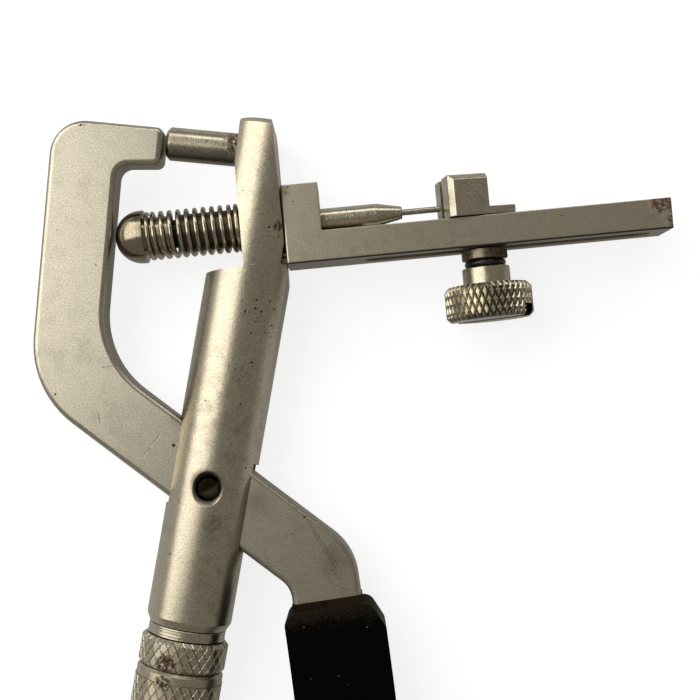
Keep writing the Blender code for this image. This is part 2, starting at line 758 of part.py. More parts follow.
def make_holder():
    start = STEM_END + SEAT_GAP
    spigot_radius, spigot_length = STEM_SOCKET
    bore = NEEDLE_RADIUS + BORE_GAP
    profile = [
        (0, NEEDLE_SEAT),
        (bore, NEEDLE_SEAT),
        (bore, HOLDER_TIP),
        (HOLDER_TIP_RADIUS, HOLDER_TIP),
        (HOLDER_RADIUS, HOLDER_SHOULDER),
        (HOLDER_RADIUS, start),
        (spigot_radius, start),
        (spigot_radius, STEM_END - spigot_length),
        (0, STEM_END - spigot_length),
    ]
    holder = turned("pin_holder", profile, satin_steel("satin_holder"), COARSE_STEPS * 2)
    return place(holder, RAIL_FRAME, rotation=ALONG_X)


def make_needle():
    stop_face = STOP_AT + STOP_LEFT / math.cos(STOP_SWIVEL)
    needle = rod(
        "needle",
        NEEDLE_RADIUS,
        stop_face - NEEDLE_GAP,
        NEEDLE_SEAT + SEAT_GAP,
        bright_steel("bright_needle"),
        COARSE_STEPS,
    )
    return place(needle, RAIL_FRAME, rotation=ALONG_X)


def make_spring():
    """A coil with a closed turn at each end, as a tube along a polyline."""
    wire = SPRING_WIRE / 2
    start = dome_centre() + DOME_SKIRT + wire + SEAT_GAP
    end = POST_LEFT - wire - SEAT_GAP
    closed_rise = SPRING_CLOSED_TURNS * (SPRING_WIRE + SPRING_CLOSED_GAP)
    open_turns = SPRING_TURNS - 2 * SPRING_CLOSED_TURNS
    open_rise = end - start - 2 * closed_rise

    def height(turns):
        into = min(turns, SPRING_CLOSED_TURNS) / SPRING_CLOSED_TURNS
        over = max(0.0, turns - SPRING_TURNS + SPRING_CLOSED_TURNS) / SPRING_CLOSED_TURNS
        through = min(max(turns - SPRING_CLOSED_TURNS, 0.0), open_turns) / open_turns
        return start + (into + over) * closed_rise + through * open_rise

    per_turn = 12
    count = round(SPRING_TURNS * per_turn)
    curve = bpy.data.curves.new("return_spring", "CURVE")
    curve.dimensions, curve.bevel_depth, curve.bevel_resolution = "3D", wire, 2
    curve.use_fill_caps = True
    spline = curve.splines.new("POLY")
    spline.points.add(count)
    for k, point in enumerate(spline.points):
        angle = math.tau * k / per_turn
        y, z = SPRING_RADIUS * math.cos(angle), SPRING_RADIUS * math.sin(angle)
        point.co = (height(k / per_turn), y, z, 1)
    spring = bpy.data.objects.new("return_spring", curve)
    curve.materials.append(bright_steel("bright_spring"))
    PIECES.objects.link(spring)
    return place(spring, RAIL_FRAME)


def make_stop():
    """The stop stands in a frame of its own, with the clamp's axis as its Y."""
    bottom = SEAT_GAP
    outline = [
        (STOP_LEFT, bottom),
        (STOP_FOOT, bottom),
        (STOP_FOOT, STOP_FOOT_HEIGHT),
        (STOP_RIGHT, STOP_FOOT_HEIGHT),
        (STOP_RIGHT, STOP_HEIGHT),
        (STOP_LEFT, STOP_HEIGHT),
    ]
    stop = plate("stop_block", outline, RAIL_DEPTH, satin_steel("satin_stop"))
    place(stop, STOP_FRAME)
    uprights, top = upright_at(STOP_LEFT), level_at(STOP_HEIGHT)
    chamfer(stop, STOP_CHAMFER, lambda a, b: uprights(a, b) or top(a, b))
    slot_width, slot_depth = STOP_SLOT
    low = (STOP_LEFT - CUT_MARGIN, -CUT_MARGIN, STOP_SLOT_SHIFT - slot_width / 2)
    high = (STOP_LEFT + slot_depth, STOP_HEIGHT + CUT_MARGIN, STOP_SLOT_SHIFT + slot_width / 2)
    cut(stop, place(block("pin_slot", low, high), STOP_FRAME))
    thread = rod("stop_thread", SCREW_RADIUS + BORE_GAP, thread_end(), -CUT_MARGIN)
    cut(stop, place(thread, STOP_FRAME, rotation=ALONG_Y))
    return stop


def thread_end():
    """The height above the rail at which the stop's threaded hole ends, inside its foot."""
    return STOP_FOOT_HEIGHT - SCREW_COVER


def make_clamp():
    """The collar guided by the slot, the rubber ring under it and the knurled screw."""
    under = RAIL_BOTTOM - RAIL_TOP - SEAT_GAP
    collar_end = under - COLLAR_THICKNESS
    ring_middle = collar_end - SEAT_GAP - O_RING_SECTION
    neck_top = ring_middle - O_RING_SECTION - SEAT_GAP
    neck_end = neck_top - SCREW_NECK_LENGTH
    bore = SCREW_RADIUS + BORE_GAP
    guide_radius = RAIL_SLOT_WIDTH / 2 - BORE_GAP / 2
    flange_edge = COLLAR_RADIUS - COLLAR_CHAMFER
    collar_profile = [
        (guide_radius, -2 * SEAT_GAP),
        (guide_radius, under),
        (COLLAR_RADIUS, under),
        (COLLAR_RADIUS, collar_end + COLLAR_CHAMFER),
        (flange_edge, collar_end),
        (bore, collar_end),
        (bore, -2 * SEAT_GAP),
    ]
    collar = turned("clamp_collar", collar_profile, satin_steel("satin_collar"), STEPS, ring=True)
    place(collar, CLAMP_FRAME, rotation=ALONG_Y)

    bpy.ops.mesh.primitive_torus_add(
        major_radius=O_RING_RADIUS,
        minor_radius=O_RING_SECTION,
        major_segments=STEPS,
        minor_segments=12,
    )
    made = bpy.context.object
    smooth(made.data)
    ring = new_piece("o_ring", made.data, black_rubber("black_o_ring"))
    bpy.data.objects.remove(made)
    place(ring, CLAMP_FRAME, (0, ring_middle, 0), ALONG_Y)

    seat_radius = O_RING_RADIUS - O_RING_SECTION - SEAT_GAP
    seat_top = collar_end - SEAT_GAP
    knob_end = neck_end - KNOB_THICKNESS
    screw_end = thread_end() - SEAT_GAP
    screw_profile = [
        (0, screw_end),
        (SCREW_RADIUS, screw_end),
        (SCREW_RADIUS, seat_top),
        (seat_radius, seat_top),
        (seat_radius, neck_top),
        (SCREW_NECK_RADIUS, neck_top),
        (SCREW_NECK_RADIUS, neck_end),
        (KNOB_RADIUS - KNOB_CHAMFER, neck_end),
        (KNOB_RADIUS, neck_end - KNOB_CHAMFER),
        (KNOB_RADIUS, knob_end + KNOB_CHAMFER),
        (KNOB_RADIUS - KNOB_CHAMFER, knob_end),
        (0, knob_end),
    ]
    screw = turned("thumb_screw", screw_profile, satin_steel("satin_thumb_screw"), FINE_STEPS)
    place(screw, CLAMP_FRAME, rotation=ALONG_Y)
    width, depth = KNOB_SLOT
    out = KNOB_RADIUS + CUT_MARGIN
    low, high = (-out, knob_end - CUT_MARGIN, -width / 2), (out, knob_end + depth, width / 2)
    coin_slot = block("coin_slot", low, high)
    cut(screw, place(coin_slot, CLAMP_FRAME, rotation=(0, -KNOB_SLOT_TURN, 0)))


def make_grip():
    """The stud in the barrel, the knurled ring locked on it and the knurled grip."""
    stud_top = BARREL_BOTTOM + STUD_IN_BARREL
    step_top = BARREL_BOTTOM - SEAT_GAP
    step_end = step_top - COLLAR_STEP_LENGTH
    ring_top = step_end - SEAT_GAP
    ring_end = ring_top - RING_LENGTH
    grip_top = ring_end - SEAT_GAP
    stud_end = grip_top - STUD_IN_GRIP
    bore = STUD_RADIUS + BORE_GAP
    stud_profile = [
        (0, stud_top),
        (STUD_RADIUS, stud_top),
        (STUD_RADIUS, step_top),
        (COLLAR_STEP_RADIUS, step_top),
        (COLLAR_STEP_RADIUS, step_end),
        (STUD_RADIUS, step_end),
        (STUD_RADIUS, stud_end),
        (0, stud_end),
    ]
    stud = turned("grip_stud", stud_profile, bright_steel("bright_stud"), STEPS)
    place(stud, TOOL, rotation=ALONG_Y)

    ring_profile = [
        (RING_RADIUS - KNURL_CHAMFER, ring_top),
        (RING_RADIUS, ring_top - KNURL_CHAMFER),
        (RING_RADIUS, ring_end + KNURL_CHAMFER),
        (RING_RADIUS - KNURL_CHAMFER, ring_end),
        (bore, ring_end),
        (bore, ring_top),
    ]
    ring = turned("lock_ring", ring_profile, satin_steel("satin_lock_ring"), FINE_STEPS, ring=True)
    place(ring, TOOL, rotation=ALONG_Y)

    arc = [math.radians(90) * k / 4 for k in range(5)]
    corner = GRIP_RADIUS - GRIP_END_FILLET
    floor = stud_end - HOLE_MARGIN
    grip_profile = [
        (0, floor),
        (bore, floor),
        (bore, grip_top),
        (GRIP_RADIUS - KNURL_CHAMFER, grip_top),
        (GRIP_RADIUS, grip_top - KNURL_CHAMFER),
        *[
            (corner + GRIP_END_FILLET * math.cos(a), GRIP_END + GRIP_END_FILLET * (1 - math.sin(a)))
            for a in arc
        ],
        (0, GRIP_END),
    ]
    grip = turned("knurled_grip", grip_profile, satin_steel("satin_grip"), FINE_STEPS)
    place(grip, TOOL, rotation=ALONG_Y)


def centre_on_box():
    """Moves the tool so that the origin is at the bottom centre of the box around its pieces."""
    bpy.context.view_layer.update()
    graph = bpy.context.evaluated_depsgraph_get()
    corners = []
    for piece in PIECES.objects:
        if piece.type in ("MESH", "CURVE"):
            mesh = piece.evaluated_get(graph).to_mesh()
            corners += [piece.matrix_world @ vertex.co for vertex in mesh.vertices]
            piece.evaluated_get(graph).to_mesh_clear()
    low = Vector([min(corner[axis] for corner in corners) for axis in range(3)])
    high = Vector([max(corner[axis] for corner in corners) for axis in range(3)])
    TOOL.location = (-(low.x + high.x) / 2, -(low.y + high.y) / 2, -low.z)
    bpy.context.view_layer.update()


def say_where():
    """Prints the joints' places and directions."""
    for frame in (TOOL, RAIL_FRAME, CLAMP_FRAME):
        place_mm = [round(value / MM, 3) for value in frame.matrix_world.translation]
        x_axis = [round(value, 6) for value in frame.matrix_world.col[0][:3]]
        y_axis = [round(value, 6) for value in frame.matrix_world.col[1][:3]]
        print(frame.name, "at", place_mm, "mm, X", x_axis, "Y", y_axis)
    print("dome centre", round(dome_centre() / MM, 3), "mm along the plunger")


clear_scene()
PIECES = new_collection("strap_pin_pliers")
CUTTERS = new_collection("cutters")
TOOL = new_frame("tool_frame")
RAIL_FRAME = new_frame("rail_frame", TOOL, (0, PLUNGER_HEIGHT, 0), (0, 0, RAIL_TILT))
ANVIL_FRAME = new_frame("anvil_frame", TOOL, (0, ANVIL_HEIGHT, 0), (0, 0, ANVIL_TILT))
CLAMP_FRAME = new_frame("clamp_frame", RAIL_FRAME, (STOP_AT, RAIL_TOP, 0))
STOP_FRAME = new_frame("stop_frame", CLAMP_FRAME, rotation=(0, STOP_SWIVEL, 0))

make_barrel()
make_pivot()
make_anvil()
make_lever()
make_sleeve()
make_bracket()
make_dowels()
make_bush()
make_head()
make_stem()
make_holder()
make_needle()
make_spring()
make_stop()
make_clamp()
make_grip()
centre_on_box()
say_where()
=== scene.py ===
# %% [markdown]
# # Strap pin pliers
#
# This hand tool presses the pins of a strap or a bracelet in and out. A turned steel barrel
# carries everything: a flat lever swings on a pin through it, the lever's jaw pushes a sprung
# plunger, and the plunger's needle meets a slotted stop that slides along a rail.
#
# The solids of the tool are already made and joined. This lesson dresses them: it makes a finer
# piece for every solid, gives each one a worn metal, rubber or plastic finish, and sets a
# camera, a floor and soft lights round the tool.

# %% Load the solids, which stay fixed
import json
import math

import bmesh
import bpy
from mathutils import Matrix, Vector


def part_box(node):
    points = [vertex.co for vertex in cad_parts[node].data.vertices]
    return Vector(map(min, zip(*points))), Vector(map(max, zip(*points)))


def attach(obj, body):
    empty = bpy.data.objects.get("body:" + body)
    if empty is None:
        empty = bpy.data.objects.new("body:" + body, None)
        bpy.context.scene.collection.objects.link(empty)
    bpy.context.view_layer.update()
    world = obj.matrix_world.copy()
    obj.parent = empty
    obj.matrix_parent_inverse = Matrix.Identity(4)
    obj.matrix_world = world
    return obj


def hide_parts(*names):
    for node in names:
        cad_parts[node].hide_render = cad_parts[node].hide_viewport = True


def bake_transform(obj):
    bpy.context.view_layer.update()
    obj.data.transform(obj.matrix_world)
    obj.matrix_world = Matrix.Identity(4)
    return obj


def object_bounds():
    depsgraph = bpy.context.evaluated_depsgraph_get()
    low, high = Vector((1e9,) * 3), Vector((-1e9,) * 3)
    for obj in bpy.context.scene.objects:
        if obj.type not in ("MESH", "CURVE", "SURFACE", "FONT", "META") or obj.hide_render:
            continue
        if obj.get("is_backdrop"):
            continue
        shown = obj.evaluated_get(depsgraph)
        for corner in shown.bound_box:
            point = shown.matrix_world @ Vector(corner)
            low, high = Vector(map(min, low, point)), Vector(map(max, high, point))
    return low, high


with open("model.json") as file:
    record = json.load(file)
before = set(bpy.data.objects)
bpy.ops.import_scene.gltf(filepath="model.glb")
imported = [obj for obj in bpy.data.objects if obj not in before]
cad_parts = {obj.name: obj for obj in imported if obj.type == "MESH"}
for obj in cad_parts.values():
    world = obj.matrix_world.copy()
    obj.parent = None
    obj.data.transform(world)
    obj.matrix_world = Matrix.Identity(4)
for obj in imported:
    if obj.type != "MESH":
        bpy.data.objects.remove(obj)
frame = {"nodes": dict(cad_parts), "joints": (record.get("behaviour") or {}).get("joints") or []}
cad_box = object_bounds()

MM = 0.001
print("box in mm:", [[round(value / MM, 2) for value in corner] for corner in cad_box])

# %% [markdown]
# ## The frames that the pieces are drawn in
#
# A maker draws each piece where it is easiest: the lever round its pin, the plunger along its own
# axis. A 4 x 4 matrix can hold such a frame, its origin and three directions, and moves a finished
# mesh into the tool. The places come from the joints of the loaded model, so that nothing is
# measured twice.

# %% Frames from the joints
JOINTS = {joint["name"]: joint for joint in frame["joints"]}


def frame_at(origin, along=(1, 0, 0)):
    """A frame whose X points along a level direction and whose Z points up."""
    x = Vector(along).normalized()
    y = Vector((0, 0, 1)).cross(x)
    made = Matrix((x, y, (0, 0, 1))).transposed().to_4x4()
    made.translation = origin
    return made


def moved(x=0.0, y=0.0, z=0.0):
    """A shift in mm."""
    return Matrix.Translation(Vector((x, y, z)) * MM)


ALONG_X = Matrix.Rotation(math.radians(90), 4, "Y")  # turns a piece's Z to point along X
ALONG_Y = Matrix.Rotation(math.radians(-90), 4, "X")  # turns a piece's Z to point along Y

pivot = Vector(JOINTS["lever_pivot"]["pos_m"])
rail_direction = Vector(JOINTS["stop_slide"]["axis"])
needle_middle = sum(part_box("needle"), Vector()) / 2
rail_origin = needle_middle + rail_direction * (pivot.x - needle_middle.x) / rail_direction.x
clamp_place = Vector(JOINTS["stop_swivel"]["pos_m"])

TOOL = frame_at(pivot)
RAIL = frame_at(rail_origin, rail_direction)
CLAMP = frame_at(clamp_place, rail_direction)
RAIL_TILT = math.atan2(rail_direction.y, rail_direction.x)
PLUNGER_HEIGHT = (rail_origin.y - pivot.y) / MM
tilt = round(math.degrees(RAIL_TILT), 2)
print("plunger", round(PLUNGER_HEIGHT, 2), "mm over the pivot, tilted", tilt, "degrees")

# %% Measure a solid along an axis
def reach(node, place):
    """Lowest and highest point of a solid along the Z of a frame, in mm."""
    back = place.inverted()
    heights = [(back @ vertex.co).z / MM for vertex in frame["nodes"][node].data.vertices]
    return min(heights), max(heights)


plunger_axis = RAIL @ ALONG_X
barrel_axis = TOOL @ ALONG_Y
clamp_axis = CLAMP @ ALONG_Y
for node, axis in (("needle", plunger_axis), ("barrel", barrel_axis)):
    print(node, [round(value, 2) for value in reach(node, axis)], "mm along its axis")

# %% [markdown]
# ## Camera
#
# The tool lies flat and is seen from straight above. A long lens close to a small object still
# shows perspective: the top of the rail looks larger than its foot. The camera hangs 170 mm over
# the tool's mid-plane, is turned a little, and a small shift centres the tool in the frame.

# %% The camera
camera_data = bpy.data.cameras.new("camera")
camera_data.sensor_width, camera_data.lens = 36.0, 61.35
camera_data.shift_y = 0.0786
camera_data.clip_start = 0.01
camera = bpy.data.objects.new("camera", camera_data)
camera.location = pivot + Vector((17.35, 14.74, 170.0)) * MM
camera.rotation_euler = (0, 0, math.radians(9.9))
bpy.context.scene.collection.objects.link(camera)
bpy.context.scene.camera = camera
print("camera", [round(value / MM, 1) for value in camera.location], "mm")

# %% [markdown]
# ## Outlines with rounded corners
#
# Flat pieces such as the lever are sawn from plate. Their outline is a chain of straight edges
# with an arc in each corner. Drawing only the corners and a radius for each, and letting a
# function put the arcs in, keeps every size readable. Arcs get a point every few degrees, so
# that their outline stays smooth close up.

# %% Corners to outlines
def turn(point, angle):
    x, y = point
    return (x * math.cos(angle) - y * math.sin(angle), x * math.sin(angle) + y * math.cos(angle))


def rounded(corners, step=math.radians(5)):
    """An outline with an arc at every corner (x, y, radius) whose radius isn't 0."""
    outline = []
    for i, (x, y, radius) in enumerate(corners):
        corner = Vector((x, y))
        if not radius:
            outline.append(tuple(corner))
            continue
        back = (Vector(corners[i - 1][:2]) - corner).normalized()
        ahead = (Vector(corners[(i + 1) % len(corners)][:2]) - corner).normalized()
        half = back.angle(ahead) / 2
        centre = corner + (back + ahead).normalized() * radius / math.sin(half)
        start = corner + back * radius / math.tan(half) - centre
        swept = start.angle_signed(corner + ahead * radius / math.tan(half) - centre)
        count = max(3, round(abs(swept) / step))
        for k in range(count + 1):
            x_off, y_off = turn(start, -swept * k / count)
            outline.append((centre.x + x_off, centre.y + y_off))
    return outline


def crossing(first, first_angle, second, second_angle):
    """Where two lines meet, each given by a point and an angle."""
    ax, ay = math.cos(first_angle), math.sin(first_angle)
    bx, by = math.cos(second_angle), math.sin(second_angle)
    along = ((second[0] - first[0]) * by - (second[1] - first[1]) * bx) / (ax * by - ay * bx)
    return (first[0] + along * ax, first[1] + along * ay)


def beside(point, angle, distance):
    """The point this far to the left of a line that leaves point at angle."""
    return (point[0] - distance * math.sin(angle), point[1] + distance * math.cos(angle))


# %% [markdown]
# ## Plates, turned pieces and plain meshes
#
# Three helpers make most of the tool. One extrudes a flat outline, which is what a saw leaves.
# One turns a profile about an axis, as a lathe does, ring by ring, so that the steps along the
# profile can be as fine as the tool marks. The last one works out every modifier, moves the points
# into the tool and leaves a plain mesh at the origin, which is what a finished piece has to be.

# %% Making meshes
def mesh_piece(name, points, faces):
    mesh = bpy.data.meshes.new(name)
    mesh.from_pydata([Vector(point) * MM for point in points], [], faces)
    made = bpy.data.objects.new(name, mesh)
    bpy.context.scene.collection.objects.link(made)
    return made


def plate(name, outline, thickness, middle=0.0):
    """An outline in mm, extruded to both sides of a level."""
    count = len(outline)
    points = [(x, y, middle + side * thickness / 2) for side in (-1, 1) for x, y in outline]
    walls = [(k, (k + 1) % count, (k + 1) % count + count, k + count) for k in range(count)]
    made = mesh_piece(name, points, [tuple(range(count)), tuple(range(count, 2 * count)), *walls])
    mend(made)
    return made


def turned(name, profile, steps=128, ring=False):
    """A solid turned about Z from (radius, height) points in mm."""
    points, rings = [], []
    for radius, height in profile:
        count = 1 if abs(radius) < 1e-6 else steps
        rings.append([len(points) + k for k in range(count)])
        angles = [math.tau * k / steps for k in range(count)]
        points += [(radius * math.cos(a), radius * math.sin(a), height) for a in angles]
    faces = []
    for upper, lower in zip(rings, rings[1:] + (rings[:1] if ring else [])):
        for k in range(steps):
            corners = [upper[k % len(upper)], upper[(k + 1) % len(upper)]]
            corners += [lower[(k + 1) % len(lower)], lower[k % len(lower)]]
            face = list(dict.fromkeys(corners))
            if len(face) > 2:
                faces.append(face)
    made = mesh_piece(name, points, faces)
    mend(made)
    return made


def mend(piece):
    """Merges doubles and points every face outwards."""
    shape = bmesh.new()
    shape.from_mesh(piece.data)
    bmesh.ops.remove_doubles(shape, verts=shape.verts, dist=1e-7)
    bmesh.ops.dissolve_degenerate(shape, edges=shape.edges, dist=1e-7)
    bmesh.ops.recalc_face_normals(shape, faces=shape.faces)
    shape.to_mesh(piece.data)
    shape.free()


def worked_out(piece):
    """Turns what the modifiers make into the piece's own mesh."""
    bpy.context.view_layer.update()
    graph = bpy.context.evaluated_depsgraph_get()
    mesh = bpy.data.meshes.new_from_object(piece.evaluated_get(graph))
    piece.modifiers.clear()
    piece.data = mesh
    return piece


def settle(piece, place=Matrix(), sharp=32):
    """Works out the modifiers, puts the place into the points and shades round faces smooth."""
    worked_out(piece)
    piece.data.transform(place @ piece.matrix_world)
    piece.matrix_world = Matrix()
    piece.data.shade_smooth()
    piece.data.set_sharp_from_angle(angle=math.radians(sharp))
    return piece


def soften(piece, width, segments=3, angle=30):
    """Breaks the sharp edges, because no real edge is perfectly sharp."""
    bevel = piece.modifiers.new("soften", "BEVEL")
    bevel.width, bevel.segments = width * MM, segments
    bevel.limit_method, bevel.angle_limit = "ANGLE", math.radians(angle)
    bevel.miter_outer = "MITER_ARC"


def combine(piece, others, operation="DIFFERENCE"):
    """Cuts other settled solids out of a settled piece, or keeps what they share."""
    for other in others:
        boolean = piece.modifiers.new(other.name, "BOOLEAN")
        boolean.operation, boolean.object, boolean.solver = operation, other, "EXACT"
    settle(piece)
    for other in others:
        bpy.data.objects.remove(other)
    mend(piece)


def even(piece):
    """Lets the broad faces set the normals beside a narrow bevel, so that flat faces stay flat."""
    weighted = piece.modifiers.new("even", "WEIGHTED_NORMAL")
    weighted.keep_sharp = True
    worked_out(piece)


def dress(piece, body, node, material=None):
    """Gives a finished piece its material, its body and the solid that it stands for.

    A finer arc can pass the solid's outline by a hair, so points are first moved into the box.
    """
    low, high = cad_box
    for vertex in piece.data.vertices:
        limits = zip(vertex.co, low, high)
        vertex.co = [min(max(value, least), most) for value, least, most in limits]
    if body:
        even(piece)
    if material:
        piece.data.materials.clear()
        piece.data.materials.append(material)
    if body:
        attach(piece, body)
    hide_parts(node)
    print(piece.name, len(piece.data.polygons), "faces")


# %% [markdown]
# ## A finish is a short recipe
#
# Every metal here is the same steel, plated, blasted with fine grit and then used for years. Such
# a surface is a few simple layers: a tint, a slow mottle, a fine grain that you also feel, dark
# pits, lathe marks and stains in known places. The class below writes those layers as shader
# nodes. It reads the place on the piece in millimetres, in the frame that the piece was drawn in,
# so a grain of 0.2 mm is 0.2 mm on every piece. A second class lets the sums of a layer be
# written with plain signs, where each sign stands for one Math node.

# %% Nodes written as sums
class Number:
    """A number that a node gives out. A sign of arithmetic on it adds a Math node."""

    def __init__(self, nodes, socket):
        self.nodes, self.socket = nodes, socket

    def __add__(self, other):
        return self.nodes.math("ADD", self, other)

    def __sub__(self, other):
        return self.nodes.math("SUBTRACT", self, other)

    def __rsub__(self, other):
        return self.nodes.math("SUBTRACT", other, self)

    def __mul__(self, other):
        return self.nodes.math("MULTIPLY", self, other)

    def __truediv__(self, other):
        return self.nodes.math("DIVIDE", self, other)

    def __rtruediv__(self, other):
        return self.nodes.math("DIVIDE", other, self)

    def __lt__(self, other):
        return self.nodes.math("LESS_THAN", self, other)

    def __gt__(self, other):
        return self.nodes.math("GREATER_THAN", self, other)

    def __abs__(self):
        return self.nodes.math("ABSOLUTE", self)

    __radd__, __rmul__ = __add__, __mul__


class Nodes:
    """A node tree that takes a node, with all that goes into it, in one line."""

    def __init__(self, tree):
        self.tree = tree

    def add(self, kind, inputs=(), **settings):
        node = self.tree.nodes.new(kind)
        for name, value in settings.items():
            setattr(node, name, value)
        for key, source in dict(inputs).items():
            self.link(source, node.inputs[key])
        return node

    def link(self, source, target):
        """Joins a socket to another, or sets it to a value."""
        source = getattr(source, "socket", source)
        if isinstance(source, bpy.types.NodeSocket):
            self.tree.links.new(source, target)
        elif target.type == "RGBA":
            target.default_value = (*source, 1.0)
        else:
            target.default_value = source

    def numbers(self, sockets):
        return [Number(self, socket) for socket in sockets]

    def math(self, operation, first, second=0.0):
        node = self.add("ShaderNodeMath", {0: first, 1: second}, operation=operation)
        return Number(self, node.outputs[0])

    def distance(self, x, y):
        return self.math("SQRT", x * x + y * y)


# %% The layers of a finish
class Finish(Nodes):
    """A material written as layers, in millimetres in the frame of one piece."""

    def __init__(self, name, place):
        self.material = bpy.data.materials.new(name)
        self.material.use_nodes = True
        super().__init__(self.material.node_tree)
        self.shader = self.tree.nodes["Principled BSDF"]
        back = place.inverted()
        mapping = self.add("ShaderNodeMapping", {
            "Vector": self.add("ShaderNodeTexCoord").outputs["Object"],
            "Location": back.translation / MM,
            "Rotation": back.to_euler(),
            "Scale": (1 / MM, 1 / MM, 1 / MM),
        })
        self.here = mapping.outputs["Vector"]
        split = self.add("ShaderNodeSeparateXYZ", {"Vector": self.here})
        self.x, self.y, self.z = self.numbers(split.outputs)

    def fade(self, value, low, high, at_low=0.0, at_high=1.0):
        """Goes smoothly from at_low to at_high while the value goes from low to high."""
        node = self.add("ShaderNodeMapRange", {
            "Value": value, "From Min": low, "From Max": high, "To Min": at_low, "To Max": at_high,
        }, interpolation_type="SMOOTHSTEP")
        return Number(self, node.outputs[0])

    def noise(self, per_mm, detail=2.0, rough=0.5, squeeze=None):
        """Smooth random values near 0.5, squeezed this many times along x, y and z."""
        where = self.here
        if squeeze:
            scaled = self.add("ShaderNodeVectorMath", {0: where, 1: squeeze}, operation="MULTIPLY")
            where = scaled.outputs[0]
        node = self.add("ShaderNodeTexNoise", {
            "Vector": where, "Scale": per_mm, "Detail": detail, "Roughness": rough})
        return Number(self, node.outputs[0])

    def specks(self, per_mm, share, size, where=1.0):
        """Small round marks: 1 inside a mark, 0 elsewhere. Only a share of the cells has one."""
        cells = self.add("ShaderNodeTexVoronoi", {"Vector": self.here, "Scale": per_mm}).outputs
        parts = self.add("ShaderNodeSeparateColor", {0: cells["Color"]}).outputs
        away, chance = self.numbers((cells["Distance"], parts[0]))
        shape = away + self.noise(6 * per_mm) * 0.25
        dot = self.fade(shape, size * 0.55 + 0.12, size + 0.12, 1.0, 0.0)
        return dot * (chance < share) * where

    def near(self, point, radius, ragged=0.5, per_mm=0.8, core=0.6):
        """1 in the core of a round patch, 0 outside it, with a ragged edge between."""
        middle = self.add("ShaderNodeVectorMath", {0: self.here, 1: point}, operation="DISTANCE")
        wander = (self.noise(per_mm, 4, 0.65) - 0.5) * (2 * ragged * radius)
        away = Number(self, middle.outputs["Value"]) + wander
        return self.fade(away, radius * core, radius * 1.15, 1.0, 0.0)

    def scratch(self, start, end, half_width=0.07):
        """1 along a fine wavering line between two points (x, y), on the side that faces up."""
        along = Vector(end) - Vector(start)
        x, y = self.x - start[0], self.y - start[1]
        part = (x * along.x + y * along.y) / along.length_squared
        part = self.math("MINIMUM", self.math("MAXIMUM", part, 0.0), 1.0)
        away = self.distance(x - part * along.x, y - part * along.y)
        waver = self.noise(2.5, 2) * (2.2 * half_width)
        line = self.fade(away + waver, 0.9 * half_width, 2.1 * half_width, 1.0, 0.0)
        return line * (self.z > 1.0)

    def over(self, below, colour, mask):
        """Paints a colour over another where the mask is 1."""
        mix = self.add("ShaderNodeMix", {0: mask, 6: below, 7: colour}, data_type="RGBA")
        return mix.outputs[2]

    def finish(self, colour, roughness, height, metallic=1.0):
        """Joins the layers to the shader. The height is in mm, outwards."""
        bump = self.add("ShaderNodeBump", {"Distance": MM, "Height": height})
        layers = {"Base Color": colour, "Roughness": roughness, "Metallic": metallic,
                  "Normal": bump.outputs[0]}
        for name, source in layers.items():
            self.link(source, self.shader.inputs[name])
        return self.material


# %% [markdown]
# ### Blasted, plated and worn steel
#
# The grit leaves a grain that spreads each reflection, so broad faces look soft and pale where they
# face the light. Years of use add slow brown mottle, black pits where the plating has failed, and
# stains. Lathe marks are rings across the axis: a noise squeezed along the axis changes only from
# ring to ring. Painted shade darkens the sides of plates, some hollows and undersides, and patches
# beside other parts.

# %% The steel recipe
NICKEL = (0.53, 0.475, 0.36)
GRIME_AND_SHADE = (0.085, 0.062, 0.036)
PIT_AND_SHADE = (0.022, 0.016, 0.010)
RUST = (0.11, 0.052, 0.018)
PIT_DEPTH = 0.03  # mm
LATHE_SQUEEZE = (0.02, 0.02, 9.0)


